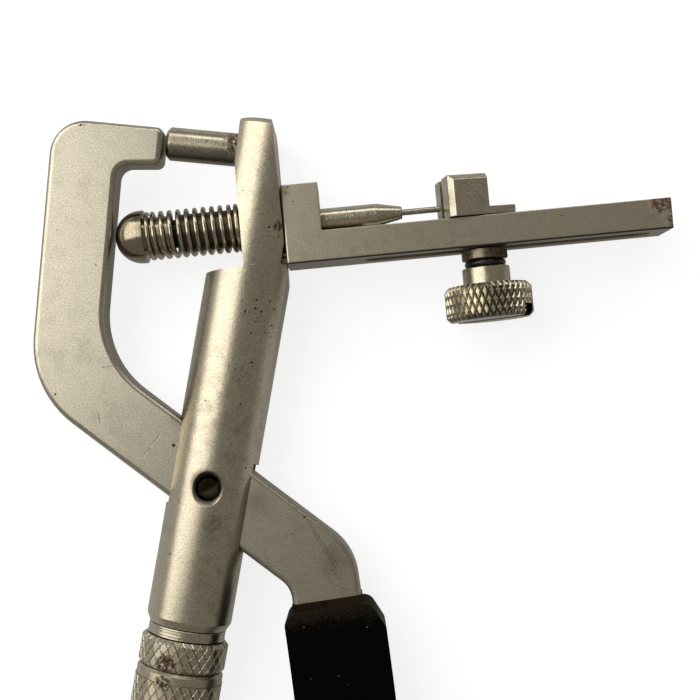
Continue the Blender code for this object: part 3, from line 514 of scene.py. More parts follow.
def worn_steel(name, place, tint=NICKEL, roughness=0.30, grain=1.0, mottle=1.0, rings=0.0,
               pits=0.006, grime=0.25, side=None, scratches=(), more_pits=(), stains=(), rust=(),
               shade_patches=(), painted_shade=None, black=()):
    """The lists hold (point, radius) of marks, in mm. A scratch is its two ends, (x, y) each.

    A plate's side is (half thickness, width): its side faces are painted darker all round, as
    painted shade mixed with the dirt. The smudge patches are painted shade, and where the mask that
    the function argument makes is 1 the steel is painted black as shade. The black list holds small
    dark marks and painted shade in hollows.
    """
    made = Finish(name, place)
    fine, coarse = made.noise(4.6, 3, 0.8), made.noise(0.5, 3, 0.6)
    slow = made.noise(0.11, 2, 0.5)
    dark = [value * (1 - 0.34 * mottle) for value in tint]
    light = [value * (1 + 0.28 * mottle) for value in tint]
    colour = made.over(dark, light, made.fade(fine, 0.28, 0.72))
    dirt_and_side_shade = made.fade(coarse, 0.42, 0.75) * made.fade(slow, 0.3, 0.7) * grime
    # Painted shade: the side faces of a plate are painted darker, mixed into the dirt mask.
    if side:
        half, width = side
        side_shade = made.fade(abs(made.z) + coarse * 0.3, half - width, half + 0.12, 0.55, 0.0)
        dirt_and_side_shade = made.math("MAXIMUM", dirt_and_side_shade, side_shade)
    colour = made.over(colour, GRIME_AND_SHADE, dirt_and_side_shade)
    rough = fine * 0.10 + dirt_and_side_shade * 0.15 + (roughness - 0.05)
    height = fine * (0.010 * grain)
    metallic = 1.0
    if rings:
        height += made.noise(1.0, 2, 0.7, LATHE_SQUEEZE) * (0.02 * rings)
    for start, end in scratches:
        line = made.scratch(start, end)
        colour = made.over(colour, PIT_AND_SHADE, line * 0.75)
        height -= line * PIT_DEPTH
    holes = made.specks(0.8, pits * 6, 0.13)
    for point, radius in more_pits:
        area = made.near(point, radius, 0.6)
        for per_mm, share in ((1.1, 0.5), (2.0, 0.35)):
            holes = made.math("MAXIMUM", holes, made.specks(per_mm, share, 0.26, area))
    for point, radius in stains:
        cloudy = made.fade(made.noise(1.6, 4, 0.7), 0.35, 0.65, 0.15, 0.8)
        area = made.near(point, radius, 0.7, 0.7) * cloudy
        colour = made.over(colour, RUST, area * 0.7)
        rough += area * 0.12
    for point, radius in rust:
        broken = made.fade(made.noise(2.0, 4, 0.7), 0.38, 0.52)
        area = made.near(point, radius, 0.8, 1.1) * broken
        flakes = made.over(PIT_AND_SHADE, RUST, made.fade(made.noise(4.0, 2), 0.42, 0.62))
        colour = made.over(colour, flakes, area)
        rough += area * 0.45
        metallic *= 1.0 - area
    # Painted shade: soft dark patches where shade falls beside other parts.
    for point, radius in shade_patches:
        colour = made.over(colour, GRIME_AND_SHADE, made.near(point, radius, 0.6, 0.4, 0.0) * 0.3)
    # Painted shade: black where the mask of the function argument is 1.
    if painted_shade:
        colour = made.over(colour, PIT_AND_SHADE, painted_shade(made) * 0.9)
    # Black patches: small dark marks, and painted shade in hollows such as the countersink.
    for point, radius in black:
        colour = made.over(colour, PIT_AND_SHADE, made.near(point, radius, 0.08, 1.5) * 0.93)
    colour = made.over(colour, PIT_AND_SHADE, holes)
    return made.finish(colour, rough, height - holes * PIT_DEPTH, metallic)


# %% [markdown]
# ## Barrel and post
#
# The barrel is one bar: round at the bottom, and milled at the top to a post that leans to the
# right. A mill leaves flat faces and crisp arcs where a flat meets the round. So the shape is made
# the way the metal was: a turned bar, then only what lies inside a side profile, then the slot
# for the lever, the countersunk pin hole and the hole for the plunger's bush.

# %% Sizes of the barrel, in mm
BARREL_RADIUS, BARREL_BOTTOM, POST_TOP = 6.0, -19.9, 51.75
POST_LEFT, POST_RIGHT, SHOULDER_DROP = -2.08, 3.7, 6.16
FACET_BOTTOM, FACET_TILT = 8.45, math.radians(3.3)
LEVER_THICKNESS, GAP = 4.8, 0.10
BUSH_RADIUS, PIVOT_RADIUS, PIVOT_SINK = 2.65, 1.65, 2.5
RAIL_FOOT, NOTCH_DEPTH, NOTCH_HEIGHT = -6.05, 0.75, 2.9
STUD_RADIUS, STUD_BORE_DEPTH = 4.0, 6.0
ANVIL_HEIGHT, ANVIL_TILT = 48.135, math.radians(4.55)
ARM_TILT, ARM_WIDTH, ARM_OFFSET = math.radians(-27), 9.9, 0.33
SWING, SWING_MARGIN = math.radians(12), 0.2


def from_rail(along, across):
    """A point of the rail's frame, in the tool's frame."""
    x, y = turn((along, across), RAIL_TILT)
    return (x, y + PLUNGER_HEIGHT)


def post_side():
    """The barrel seen from the side, as an outline that is wider than the bar below."""
    out = BARREL_RADIUS + 1
    above = (0, POST_TOP + 1)
    facet_foot = from_rail(POST_LEFT, FACET_BOTTOM)
    facet_top = crossing(facet_foot, math.radians(90) + FACET_TILT, above, 0)
    right = (from_rail(POST_RIGHT, 0), RAIL_TILT + math.radians(90))
    return rounded([
        (-out, BARREL_BOTTOM - 1, 0),
        (out, BARREL_BOTTOM - 1, 0),
        (*crossing((out, 0), math.radians(90), *right), 0),
        (*crossing(above, 0, *right), 0),
        (*facet_top, 0),
        (*facet_foot, 0),
        (*from_rail(POST_LEFT, -SHOULDER_DROP), 0.15),
        (*from_rail(-out / math.cos(RAIL_TILT) - 1, -SHOULDER_DROP), 0),
    ])


def slot_side():
    """The lever's slot seen from the side. Its ends slant, and just let the arm swing."""
    out = BARREL_RADIUS + 1
    closed, opened = ARM_TILT, ARM_TILT + SWING
    corners = []
    for side, left_tilt, right_tilt in ((1, closed, opened), (-1, opened, closed)):
        across = ARM_OFFSET + side * (ARM_WIDTH / 2 + SWING_MARGIN)
        left, right = ((x, x * math.tan(tilt) + across / math.cos(tilt))
                       for x, tilt in ((-BARREL_RADIUS, left_tilt), (BARREL_RADIUS, right_tilt)))
        slope = math.atan2(right[1] - left[1], 2 * BARREL_RADIUS)
        for x in (-side * out, side * out):
            corners.append(crossing((x, 0), math.radians(90), left, slope))
    return corners


# %% Turn the bar and mill it
def box_between(name, low, high):
    corners = [(low[0], low[1]), (high[0], low[1]), (high[0], high[1]), (low[0], high[1])]
    return plate(name, corners, high[2] - low[2], (low[2] + high[2]) / 2)


out = BARREL_RADIUS + 1
stud_bore, stud_bore_top = STUD_RADIUS + GAP, BARREL_BOTTOM + STUD_BORE_DEPTH
bar = rounded([
    (0, POST_TOP, 0), (BARREL_RADIUS - 0.7, POST_TOP, 0.1), (BARREL_RADIUS, POST_TOP - 0.7, 0.1),
    (BARREL_RADIUS, BARREL_BOTTOM + 1.1, 0.1), (BARREL_RADIUS - 0.55, BARREL_BOTTOM, 0.1),
    (stud_bore, BARREL_BOTTOM, 0), (stud_bore, stud_bore_top, 0), (0, stud_bore_top, 0),
])
barrel = settle(turned("milled_barrel", bar, 144), barrel_axis)
combine(barrel, [settle(plate("side", post_side(), 2 * out), TOOL)], "INTERSECT")
slot = plate("slot", slot_side(), LEVER_THICKNESS + 2 * GAP)
bore = PIVOT_RADIUS + GAP
sink_end = BARREL_RADIUS - (PIVOT_SINK - bore)
wide = bore + out - sink_end
hole = [(0, out), (wide, out), (bore, sink_end), (bore, -sink_end), (wide, -out), (0, -out)]
bush_hole = [(0, out), (BUSH_RADIUS + GAP, out), (BUSH_RADIUS + GAP, -out), (0, -out)]
notch_top = RAIL_FOOT + NOTCH_HEIGHT
notch = [
    (POST_RIGHT - NOTCH_DEPTH, RAIL_FOOT), (out, RAIL_FOOT), (out, notch_top),
    (POST_RIGHT, notch_top),
]
combine(barrel, [
    settle(slot, TOOL),
    settle(turned("pin_hole", hole), TOOL),
    settle(turned("bush_hole", bush_hole), plunger_axis),
    settle(plate("notch", notch, out, out / 2), RAIL),
])
soften(barrel, 0.09, 2, 28)
settle(barrel)

# %% Its finish
SINK_MIDDLE, SINK_RADIUS = (-0.35, 0.6, 5.2), 2.35
barrel_steel = worn_steel(
    "blasted_barrel", TOOL, rings=0.15, pits=0.02, grime=0.35,
    scratches=[((-0.4, 31.3), (1.1, 31.6))],
    more_pits=[((3.0, 24.5, 5.1), 3.6), ((2.6, 17.0, 5.3), 3.0), ((3.0, 37.2, 5.1), 1.5),
               ((2.6, 38.6, 5.2), 3.0), ((3.4, 37.0, 4.9), 1.0), ((4.5, 3.0, 4.0), 1.6)],
    stains=[((1.5, -4.6, 5.8), 1.5)], rust=[((3.3, 37.4, 5.0), 0.9)],
    # The black patch is painted shade in the pin's countersink.
    black=[(SINK_MIDDLE, SINK_RADIUS)],
)
dress(barrel, "frame", "barrel", barrel_steel)

# %% [markdown]
# ## Pivot pin
#
# The lever turns on a blackened pin that sits deep in a countersink. Its flat end has a small
# chamfer and a narrow screwdriver slot. A turned profile and one cut are all that it needs.

# %% The pin
pin_low, pin_high = reach("pivot_screw", TOOL)
pin_profile = rounded([
    (0, pin_high, 0), (PIVOT_RADIUS - 0.3, pin_high, 0.08), (PIVOT_RADIUS, pin_high - 0.3, 0.08),
    (PIVOT_RADIUS, pin_low + 0.3, 0.08), (PIVOT_RADIUS - 0.3, pin_low, 0.08), (0, pin_low, 0),
])
pin = settle(turned("slotted_pin", pin_profile, 64), TOOL)
driver_slot = box_between("driver_slot", (-3, -0.25, pin_high - 0.5), (3, 0.25, pin_high + 1))
combine(pin, [settle(driver_slot, TOOL @ Matrix.Rotation(math.radians(38), 4, "Z"))])
soften(pin, 0.05, 2, 30)
settle(pin)
dress(pin, "frame", "pivot_screw",
      worn_steel("blackened_steel", TOOL, (0.022, 0.018, 0.012), 0.34, grime=0.5))

# %% [markdown]
# ## Anvil
#
# A short thick pin stands out of the post towards the jaw. It is turned, so its end has a
# chamfer and its side carries faint rings.

# %% The anvil
ANVIL_RADIUS, SPIGOT_RADIUS, ANVIL_LENGTH = 2.35, 1.5, 10.2
anvil_axis = TOOL @ moved(y=ANVIL_HEIGHT) @ Matrix.Rotation(ANVIL_TILT, 4, "Z") @ ALONG_X
anvil_low = reach("anvil_post", anvil_axis)[0]
anvil_shoulder = anvil_low + ANVIL_LENGTH
anvil_profile = rounded([
    (0, anvil_shoulder + 2, 0), (SPIGOT_RADIUS, anvil_shoulder + 2, 0),
    (SPIGOT_RADIUS, anvil_shoulder, 0), (ANVIL_RADIUS, anvil_shoulder, 0),
    (ANVIL_RADIUS, anvil_low + 0.5, 0.12), (ANVIL_RADIUS - 0.5, anvil_low, 0.1), (0, anvil_low, 0),
])
anvil = settle(turned("turned_anvil", anvil_profile), anvil_axis)
anvil_steel = worn_steel(
    "turned_anvil_steel", anvil_axis, roughness=0.24, grain=0.6, rings=0.5, grime=0.4,
    more_pits=[((-2.0, 0.5, anvil_shoulder - 1.0), 1.5)],
    rust=[((-1.8, 0.6, anvil_shoulder - 0.2), 1.9)],
    # Painted shade: the anvil's lower side is painted darker.
    painted_shade=lambda made: made.fade(made.y, -1.9, -0.1, 0.7, 0.0),
)
dress(anvil, "frame", "anvil_post", anvil_steel)

# %% [markdown]
# ## Lever
#
# The lever is sawn from 4.8 mm plate: a hooked jaw, a limb, an arm that crosses the pivot and a
# tang that goes into the handle. Its straight edges are lines, given by a point and an angle, and
# its corners are where two lines cross, so the jaw stays the right distance from the anvil
# whatever else changes. The broad faces were tumbled, which is why every edge is well rounded.

# %% Sizes of the lever, in mm
JAW_GAP, JAW_TIP_FILLET, JAW_TIP_HEIGHT = 0.35, 1.1, 5.3
JAW_OVER_ANVIL, JAW_TAPER = 1.82, math.radians(5.5)
LIMB_TILT, LIMB_WIDTH, LIMB_FOOT = math.radians(4.9), 9.75, 15.3
HANDLE_START, HANDLE_LENGTH = (18.97, -13.02), 87.0
HANDLE_ANGLES = (math.radians(18.5), math.radians(9.0))
TANG_WIDTH, SLEEVE_WALL = 9.8, 3.0


def from_anvil(along, across):
    x, y = turn((along, across), ANVIL_TILT)
    return (x, y + ANVIL_HEIGHT)


def handle_point(along, offset):
    """A point beside the handle's curved centre line, offset towards its outer side."""
    bend = (HANDLE_ANGLES[1] - HANDLE_ANGLES[0]) / HANDLE_LENGTH
    angle = HANDLE_ANGLES[0] + bend * along
    x = HANDLE_START[0] + (math.cos(HANDLE_ANGLES[0]) - math.cos(angle)) / bend
    y = HANDLE_START[1] - (math.sin(angle) - math.sin(HANDLE_ANGLES[0])) / bend
    return (x + offset * math.cos(angle), y + offset * math.sin(angle))


def handle_strip(start, end, middle, width, end_radius, spans=24):
    """Corners of a strip along the handle, down its outer side and back up its inner side."""
    places = [start + (end - start) * k / spans for k in range(spans + 1)]
    outer = [(*handle_point(s, middle + width / 2), 0) for s in places]
    inner = [(*handle_point(s, middle - width / 2), 0) for s in reversed(places)]
    outer[-1], inner[0] = (*outer[-1][:2], end_radius), (*inner[0][:2], end_radius)
    return outer + inner


def lever_outline():
    limb = math.radians(90) + LIMB_TILT
    arm_middle = beside((0, 0), ARM_TILT, ARM_OFFSET)
    arm_over = (beside(arm_middle, ARM_TILT, ARM_WIDTH / 2), ARM_TILT)
    arm_under = (beside(arm_middle, ARM_TILT, -ARM_WIDTH / 2), ARM_TILT)
    inner = (crossing((0, LIMB_FOOT), 0, *arm_over), limb)
    outer = (beside(inner[0], limb, LIMB_WIDTH), limb)
    top = (from_anvil(0, JAW_OVER_ANVIL), ANVIL_TILT)
    face = (from_anvil(anvil_low - JAW_GAP, 0), math.radians(90) + ANVIL_TILT)
    tip_top = crossing(*top, *face)
    tip_bottom = beside(tip_top, ANVIL_TILT, -JAW_TIP_HEIGHT)
    down = HANDLE_ANGLES[0] - math.radians(90)
    tang = handle_strip(0, HANDLE_LENGTH - SLEEVE_WALL, 0, TANG_WIDTH, TANG_WIDTH / 3)
    return rounded([
        (*tip_top, JAW_TIP_FILLET),
        (*crossing(*top, *outer), 5.0),
        (*crossing(*outer, *arm_under), 14.0),
        (*crossing(*arm_under, handle_point(0, -TANG_WIDTH / 2), down), 3.6),
        *reversed(tang),
        (*crossing(*arm_over, handle_point(0, TANG_WIDTH / 2), down), 9.0),
        (*inner[0], 13.0),
        (*crossing(tip_bottom, ANVIL_TILT + JAW_TAPER, *inner), 1.8),
        (*tip_bottom, JAW_TIP_FILLET),
    ])


# %% Saw the lever and round its edges
lever = plate("sawn_lever", lever_outline(), LEVER_THICKNESS)
soften(lever, 0.85, 6, 50)
settle(lever, TOOL)
bore_profile = [(0, 4), (PIVOT_RADIUS + 0.06, 4), (PIVOT_RADIUS + 0.06, -4), (0, -4)]
combine(lever, [settle(turned("lever_bore", bore_profile), TOOL)])
settle(lever)
lever_steel = worn_steel(
    "blasted_lever", TOOL, (0.51, 0.468, 0.372), 0.30, grain=1.2, pits=0.008, grime=0.2,
    side=(LEVER_THICKNESS / 2, 0.95),
    scratches=[
        ((13.9, -1.8), (19.8, -8.0)), ((15.2, -3.6), (19.4, -8.3)), ((18.8, -10.3), (21.5, -11.0)),
        ((18.9, -8.4), (20.1, -9.7)), ((15.0, -14.3), (19.7, -13.0)), ((-10.1, 2.4), (-8.2, 6.2)),
        ((-17.3, 7.6), (-16.8, 6.2)), ((-17.9, 13.9), (-16.4, 14.4)),
        ((-27.0, 46.8), (-26.0, 47.2)),
    ],
    more_pits=[((-5.5, 4.5, 2.4), 1.5)],
    # Painted shade patches at the jaw tip and beside the barrel.
    shade_patches=[((-12.6, 46.0, 2.4), 3.6), ((-5.2, 8.6, 2.4), 2.6), ((7.0, -1.0, 2.4), 2.6),
             ((19.0, -7.0, 2.4), 3.0)],
    black=[((-6.1, 4.9, 2.4), 0.28), ((-26.7, 47.0, 2.4), 0.2)],
)
dress(lever, "lever", "jaw_lever", lever_steel)

# %% [markdown]
# ## Handle sleeve
#
# The handle was dipped in soft black plastic, which leaves a thick rounded skin that ends in a
# soft lip. The sleeve follows the tang's gentle arc. A wide bevel of many segments gives the
# rounded section, and the pocket for the tang is cut last.

# %% Dip the handle
SLEEVE_START, SLEEVE_WIDTH, SLEEVE_DEPTH, SLEEVE_SHIFT, MOUTH = 0.75, 14.0, 9.4, 0.7, 1.7
strip = handle_strip(SLEEVE_START, HANDLE_LENGTH, SLEEVE_SHIFT, SLEEVE_WIDTH, SLEEVE_WIDTH * 0.42)
outer_side = SLEEVE_SHIFT + SLEEVE_WIDTH / 2
strip[0] = (*handle_point(SLEEVE_START + 3.6, outer_side), MOUTH)
strip[1:3] = []
strip[-1] = (*strip[-1][:2], MOUTH)
strip.append((*handle_point(SLEEVE_START, outer_side - 1.7), MOUTH))
sleeve = plate("dipped_sleeve", rounded(strip), SLEEVE_DEPTH)
soften(sleeve, 2.6, 8, 50)
settle(sleeve, TOOL)
pocket_end = HANDLE_LENGTH - SLEEVE_WALL + GAP
pocket_strip = handle_strip(SLEEVE_START - 1, pocket_end, 0, TANG_WIDTH + 2 * GAP, TANG_WIDTH / 3)
pocket = plate("pocket", rounded(pocket_strip), LEVER_THICKNESS + 2 * GAP)
combine(sleeve, [settle(pocket, TOOL)])
soften(sleeve, 0.15, 2, 40)
settle(sleeve)

# %% [markdown]
# ### Black plastic, browner near its lip
#
# Dipped plastic is nearly black with a soft sheen. Its first few millimetres carry brown specks,
# partly scuffs from handling and partly painted sheen, and fine pale specks of dust sit on the
# rest. A thin painted highlight runs along each rounded edge.

# %% The plastic recipe
HANDLE = TOOL @ moved(*HANDLE_START) @ Matrix.Rotation(HANDLE_ANGLES[0], 4, "Z")
PLASTIC, SCUFF_AND_SHEEN = (0.0012, 0.001, 0.0008), (0.019, 0.013, 0.0075)
EDGE_HIGHLIGHT, DUST = (0.055, 0.038, 0.022), (0.12, 0.10, 0.075)
plastic = Finish("dusty_black_plastic", HANDLE)
fine, slow = plastic.noise(5.0, 3, 0.6), plastic.noise(0.3, 3, 0.6)
from_lip = plastic.y + slow * 3.0
dots = plastic.fade(fine + plastic.fade(from_lip, -3.6, 1.0) * 0.32, 0.62, 0.85)
# Brown specks near the lip: scuffs mixed with painted sheen.
scuffs_and_sheen = plastic.fade(from_lip, -4.2, -0.5) * dots
colour = plastic.over(PLASTIC, SCUFF_AND_SHEEN, scuffs_and_sheen)
# Painted highlight: a thin lighter line along each rounded edge.
for level, here in ((3.95, plastic.x < 0.0), (2.6, plastic.x > 0.0)):
    edge_highlight = plastic.fade(abs(plastic.z - level), 0.04, 0.13, 0.6, 0.0)
    colour = plastic.over(colour, EDGE_HIGHLIGHT, edge_highlight * here)
colour = plastic.over(colour, DUST, plastic.specks(0.8, 0.14, 0.10))
plastic.finish(colour, slow * 0.2 + scuffs_and_sheen * 0.3 + 0.33, fine * 0.012 + slow * 0.1, 0.0)
plastic.shader.inputs["Specular IOR Level"].default_value = 0.04
dress(sleeve, "lever", "handle_sleeve", plastic.material)

# %% [markdown]
# ## Rail and stop
#
# The rail and its block are one milled bar, screwed and pinned to the post. The stop stands on
# the rail: a small block with a groove in its face, which straddles the needle, and a chamfer
# round its head. Both are plates with cuts, and a fine bevel on every edge keeps the crisp look
# of milled steel while still catching the light.

# %% The rail and its block
RAIL_DEPTH, RAIL_TOP, RAIL_BOTTOM, RAIL_END = 8.2, -2.0, -6.3, 57.9
BLOCK_TOP, BLOCK_RIGHT, HOLDER_RADIUS = 4.75, 9.07, 1.6


def chamfer(piece, width, chosen):
    """Chamfers the edges whose two end points, in mm, chosen() accepts."""
    shape = bmesh.new()
    shape.from_mesh(piece.data)
    edges = [e for e in shape.edges if chosen(e.verts[0].co / MM, e.verts[1].co / MM)]
    bmesh.ops.bevel(shape, geom=edges, offset=width * MM, segments=1, affect="EDGES", profile=0.5)
    shape.to_mesh(piece.data)
    shape.free()


def across_at(x=None, y=None):
    """Accepts the edges that run in one level and lie at this x or this y."""

    def chosen(a, b):
        on_x = x is not None and abs(a.x - x) < 0.01 and abs(b.x - x) < 0.01
        on_y = y is not None and abs(a.y - y) < 0.01 and abs(b.y - y) < 0.01
        return (on_x or on_y) and abs(a.z - b.z) < 0.01

    return chosen


block_left = POST_RIGHT + GAP
bracket = plate("milled_rail", [
    (block_left, RAIL_BOTTOM), (RAIL_END, RAIL_BOTTOM), (RAIL_END, RAIL_TOP),
    (BLOCK_RIGHT, RAIL_TOP), (BLOCK_RIGHT, BLOCK_TOP), (block_left, BLOCK_TOP),
], RAIL_DEPTH)
chamfer(bracket, 0.22, across_at(x=block_left))
settle(bracket, RAIL)

# %% The rail's slot and the holder's bore
SLOT_HALF, SLOT_START, SLOT_END = 1.7, 14.8, 55.5
slot_outline = rounded([(x, y, SLOT_HALF) for x, y in (
    (SLOT_START, -SLOT_HALF), (SLOT_END, -SLOT_HALF),
    (SLOT_END, SLOT_HALF), (SLOT_START, SLOT_HALF),
)])
slot_turn = moved(y=(RAIL_TOP + RAIL_BOTTOM) / 2) @ Matrix.Rotation(math.radians(90), 4, "X")
bore = HOLDER_RADIUS + GAP
bore_right, bore_left = BLOCK_RIGHT + 1, block_left - 1
holder_bore = [(0, bore_right), (bore, bore_right), (bore, bore_left), (0, bore_left)]
combine(bracket, [
    settle(plate("rail_slot", slot_outline, 8.0), RAIL @ slot_turn),
    settle(turned("holder_bore", holder_bore), plunger_axis),
])
soften(bracket, 0.13, 3, 40)
settle(bracket)


# %% The rail's finish
def lower_edge(made):
    """Painted shade: a dark line along the front edge of the rail's foot."""
    front = RAIL_DEPTH / 2
    near_foot = made.fade(abs(made.y - RAIL_BOTTOM), 0.16, 0.34, 1.0, 0.0)
    return near_foot * made.fade(made.z, front - 0.5, front - 0.3)


bracket_steel = worn_steel(
    "milled_rail_steel", RAIL, roughness=0.33, mottle=0.6, pits=0.01, grime=0.3,
    side=(RAIL_DEPTH / 2, 0.3),
    more_pits=[((5.4, 3.2, 4.1), 1.3), ((RAIL_END - 1.6, -2.8, 4.1), 1.6)],
    rust=[((RAIL_END - 1.4, -2.6, 4.1), 2.0), ((RAIL_END, -5.0, 3.8), 1.3)],
    # Painted shade where the block meets the post, and painted shade along the foot's front edge.
    shade_patches=[((4.4, 3.8, 4.1), 1.0)], painted_shade=lower_edge,
)
dress(bracket, "frame", "rail_bracket", bracket_steel)

# %% The stop, drawn in a frame turned about the clamp
STOP_SWIVEL, STOP_LEFT, STOP_RIGHT, STOP_HEIGHT = math.radians(10), -5.45, 0.2, 5.95
STOP_FOOT, STOP_FOOT_HEIGHT, GROOVE_DEPTH = 3.9, 1.2, 1.5
STOP = CLAMP @ Matrix.Rotation(STOP_SWIVEL, 4, "Y")
stop = plate("grooved_stop", [
    (STOP_LEFT, GAP), (STOP_FOOT, GAP), (STOP_FOOT, STOP_FOOT_HEIGHT),
    (STOP_RIGHT, STOP_FOOT_HEIGHT), (STOP_RIGHT, STOP_HEIGHT), (STOP_LEFT, STOP_HEIGHT),
], RAIL_DEPTH)
chamfer(stop, 0.75, across_at(STOP_LEFT, STOP_HEIGHT))
settle(stop, STOP)
groove = box_between("groove", (STOP_LEFT - 1, -1, -1.0),
                     (STOP_LEFT + GROOVE_DEPTH, STOP_HEIGHT + 1, 0.4))
thread = [(0, 0.95), (1.3, 0.95), (1.3, -1), (0, -1)]
combine(stop, [settle(groove, STOP), settle(turned("thread", thread, 48), STOP @ ALONG_Y)])
soften(stop, 0.12, 2, 30)
settle(stop)
stop_steel = worn_steel(
    "grooved_stop_steel", STOP, roughness=0.30, grain=1.5, grime=0.45,
    # Painted shade patch on the grooved end face.
    more_pits=[((STOP_LEFT + 0.3, 4.6, 3.8), 1.2)], shade_patches=[((STOP_LEFT, 2.5, 3.8), 1.6)],
)
dress(stop, "stop", "stop_block", stop_steel)

# %% [markdown]
# ## Turned pieces of the plunger
#
# The plunger is a domed head, a stem in a bush, and a thin needle in a holder. Each is turned, so
# each is one profile. Real lathe work leaves shallow rings, and rings this size are worth having
# in the mesh, where they glint from any side: the profile gets points close together and a small
# ripple.

# %% Profiles with tool marks
def ripple(profile, spacing=0.16, depth=0.012):
    """Adds shallow rings to the slanted and outer parts of a profile."""
    made, number = [profile[0]], 0
    for (r0, h0), (r1, h1) in zip(profile, profile[1:]):
        span = math.hypot(r1 - r0, h1 - h0)
        count = max(1, round(span / spacing)) if min(r0, r1) > 0.3 else 1
        for k in range(1, count + 1):
            number += 1
            uneven = 0.4 + 0.6 * math.sin(number * 2.4) ** 2
            sunk = depth * (number % 2) * uneven * abs(h0 - h1) / span if k < count else 0
            made.append((r0 + (r1 - r0) * k / count - sunk, h0 + (h1 - h0) * k / count))
    return made


def arc(radius, middle, start, end, spans):
    """Points of an arc in a profile, round a middle on the (radius, height) plane."""
    angles = [start + (end - start) * k / spans for k in range(spans + 1)]
    return [(middle[0] + radius * math.cos(a), middle[1] + radius * math.sin(a)) for a in angles]


# %% The domed head and its stem
DOME, TAIL, STEM_RADIUS = 3.74, 2.65, 2.0
head_low, head_high = reach("plunger_head", plunger_axis)
dome_middle = head_low + DOME
dome_base = dome_middle + 0.55
dome = arc(DOME, (0, dome_middle), math.radians(-90), 0, 24)
head_profile = [
    (0, dome_base + 0.5), (STEM_RADIUS + GAP, dome_base + 0.5), (STEM_RADIUS + GAP, head_high),
    (TAIL - 0.1, head_high), (TAIL, head_high - 0.1), (TAIL, dome_base),
    (DOME - 0.08, dome_base), (DOME, dome_base - 0.08), *reversed(ripple(dome, 0.11, 0.010)),
]
head = settle(turned("domed_head", head_profile), plunger_axis, 40)
head_steel = worn_steel(
    "polished_dome", plunger_axis, (0.36, 0.31, 0.22), 0.17, grain=0.15, rings=0.6, pits=0.0,
    grime=0.6, stains=[((-1.6, 1.6, head_low + 1.0), 1.2)],
)
dress(head, "plunger", "plunger_head", head_steel)

stem_low, stem_high = reach("plunger_stem", plunger_axis)
stem_profile = [(0, stem_high), (STEM_RADIUS, stem_high), (STEM_RADIUS, stem_low), (0, stem_low)]
stem = settle(turned("ground_stem", stem_profile, 64), plunger_axis)
# The stem is painted near black as shade: it is seen only between the coils.
dress(stem, "plunger", "plunger_stem", worn_steel(
    "oily_stem_steel", plunger_axis, (0.025, 0.02, 0.014), 0.30, rings=0.5, grime=0.8))

# %% The bush, the holder and the needle
bush_low, bush_high = reach("guide_bush", plunger_axis)
bush_bore = STEM_RADIUS + GAP
bush_profile = rounded([
    (BUSH_RADIUS, bush_high, 0), (BUSH_RADIUS, bush_low, 0.2),
    (bush_bore, bush_low, 0.1), (bush_bore, bush_high, 0),
])
bush = settle(turned("stem_bush", bush_profile, 96, ring=True), plunger_axis)
dress(bush, "frame", "guide_bush", worn_steel(
    "oily_bush_steel", plunger_axis, (0.08, 0.068, 0.05), 0.35, rings=0.5, grime=0.8))

CONE_LENGTH, CONE_TIP, NEEDLE_RADIUS = 3.42, 0.9, 0.43
TAIL_PIN, TAIL_SHOULDER = 1.05, 3.1
holder_low, holder_high = reach("pin_holder", plunger_axis)
needle_low, needle_high = reach("needle", plunger_axis)
shoulder = holder_high - CONE_LENGTH
cone = ripple([
    (CONE_TIP - 0.08, holder_high - 0.03), (CONE_TIP, holder_high - 0.1),
    (HOLDER_RADIUS - 0.04, shoulder + 0.05), (HOLDER_RADIUS, shoulder - 0.05),
], 0.17, 0.02)
rod = ripple([(HOLDER_RADIUS, shoulder - 0.3), (HOLDER_RADIUS, holder_low + 4.6)], 0.19, 0.006)
socket, socket_foot = NEEDLE_RADIUS + GAP, needle_low - 0.1
holder_profile = [
    (0, socket_foot), (socket, socket_foot), (socket, holder_high), (CONE_TIP - 0.15, holder_high),
    *cone, *rod, (HOLDER_RADIUS, TAIL_SHOULDER), (TAIL_PIN, TAIL_SHOULDER),
    (TAIL_PIN, holder_low), (0, holder_low),
]
holder = settle(turned("turned_holder", holder_profile, 96), plunger_axis, 50)
dress(holder, "plunger", "pin_holder", worn_steel(
    "turned_holder_steel", plunger_axis, roughness=0.24, grain=0.5, rings=1.0, pits=0.0,
    grime=0.35))

needle_profile = [
    (0, needle_high), (NEEDLE_RADIUS - 0.06, needle_high), (NEEDLE_RADIUS, needle_high - 0.06),
    (NEEDLE_RADIUS, needle_low), (0, needle_low),
]
needle = settle(turned("push_needle", needle_profile, 40), plunger_axis)
dress(needle, "plunger", "needle", worn_steel(
    "drawn_needle_steel", plunger_axis, (0.45, 0.42, 0.34), 0.27, grain=0.4, rings=0.4))

# %% [markdown]
# ## Geometry Nodes, written as a script
#
# The spring and the knurls follow a rule: so many turns, so many diamonds. Geometry Nodes suit
# them, because the rule stays open to change: each tree has named inputs for its sizes. The sums
# are written with the same plain signs as the finishes. A modifier's input is set by the
# identifier of its socket, before the object is first worked out.

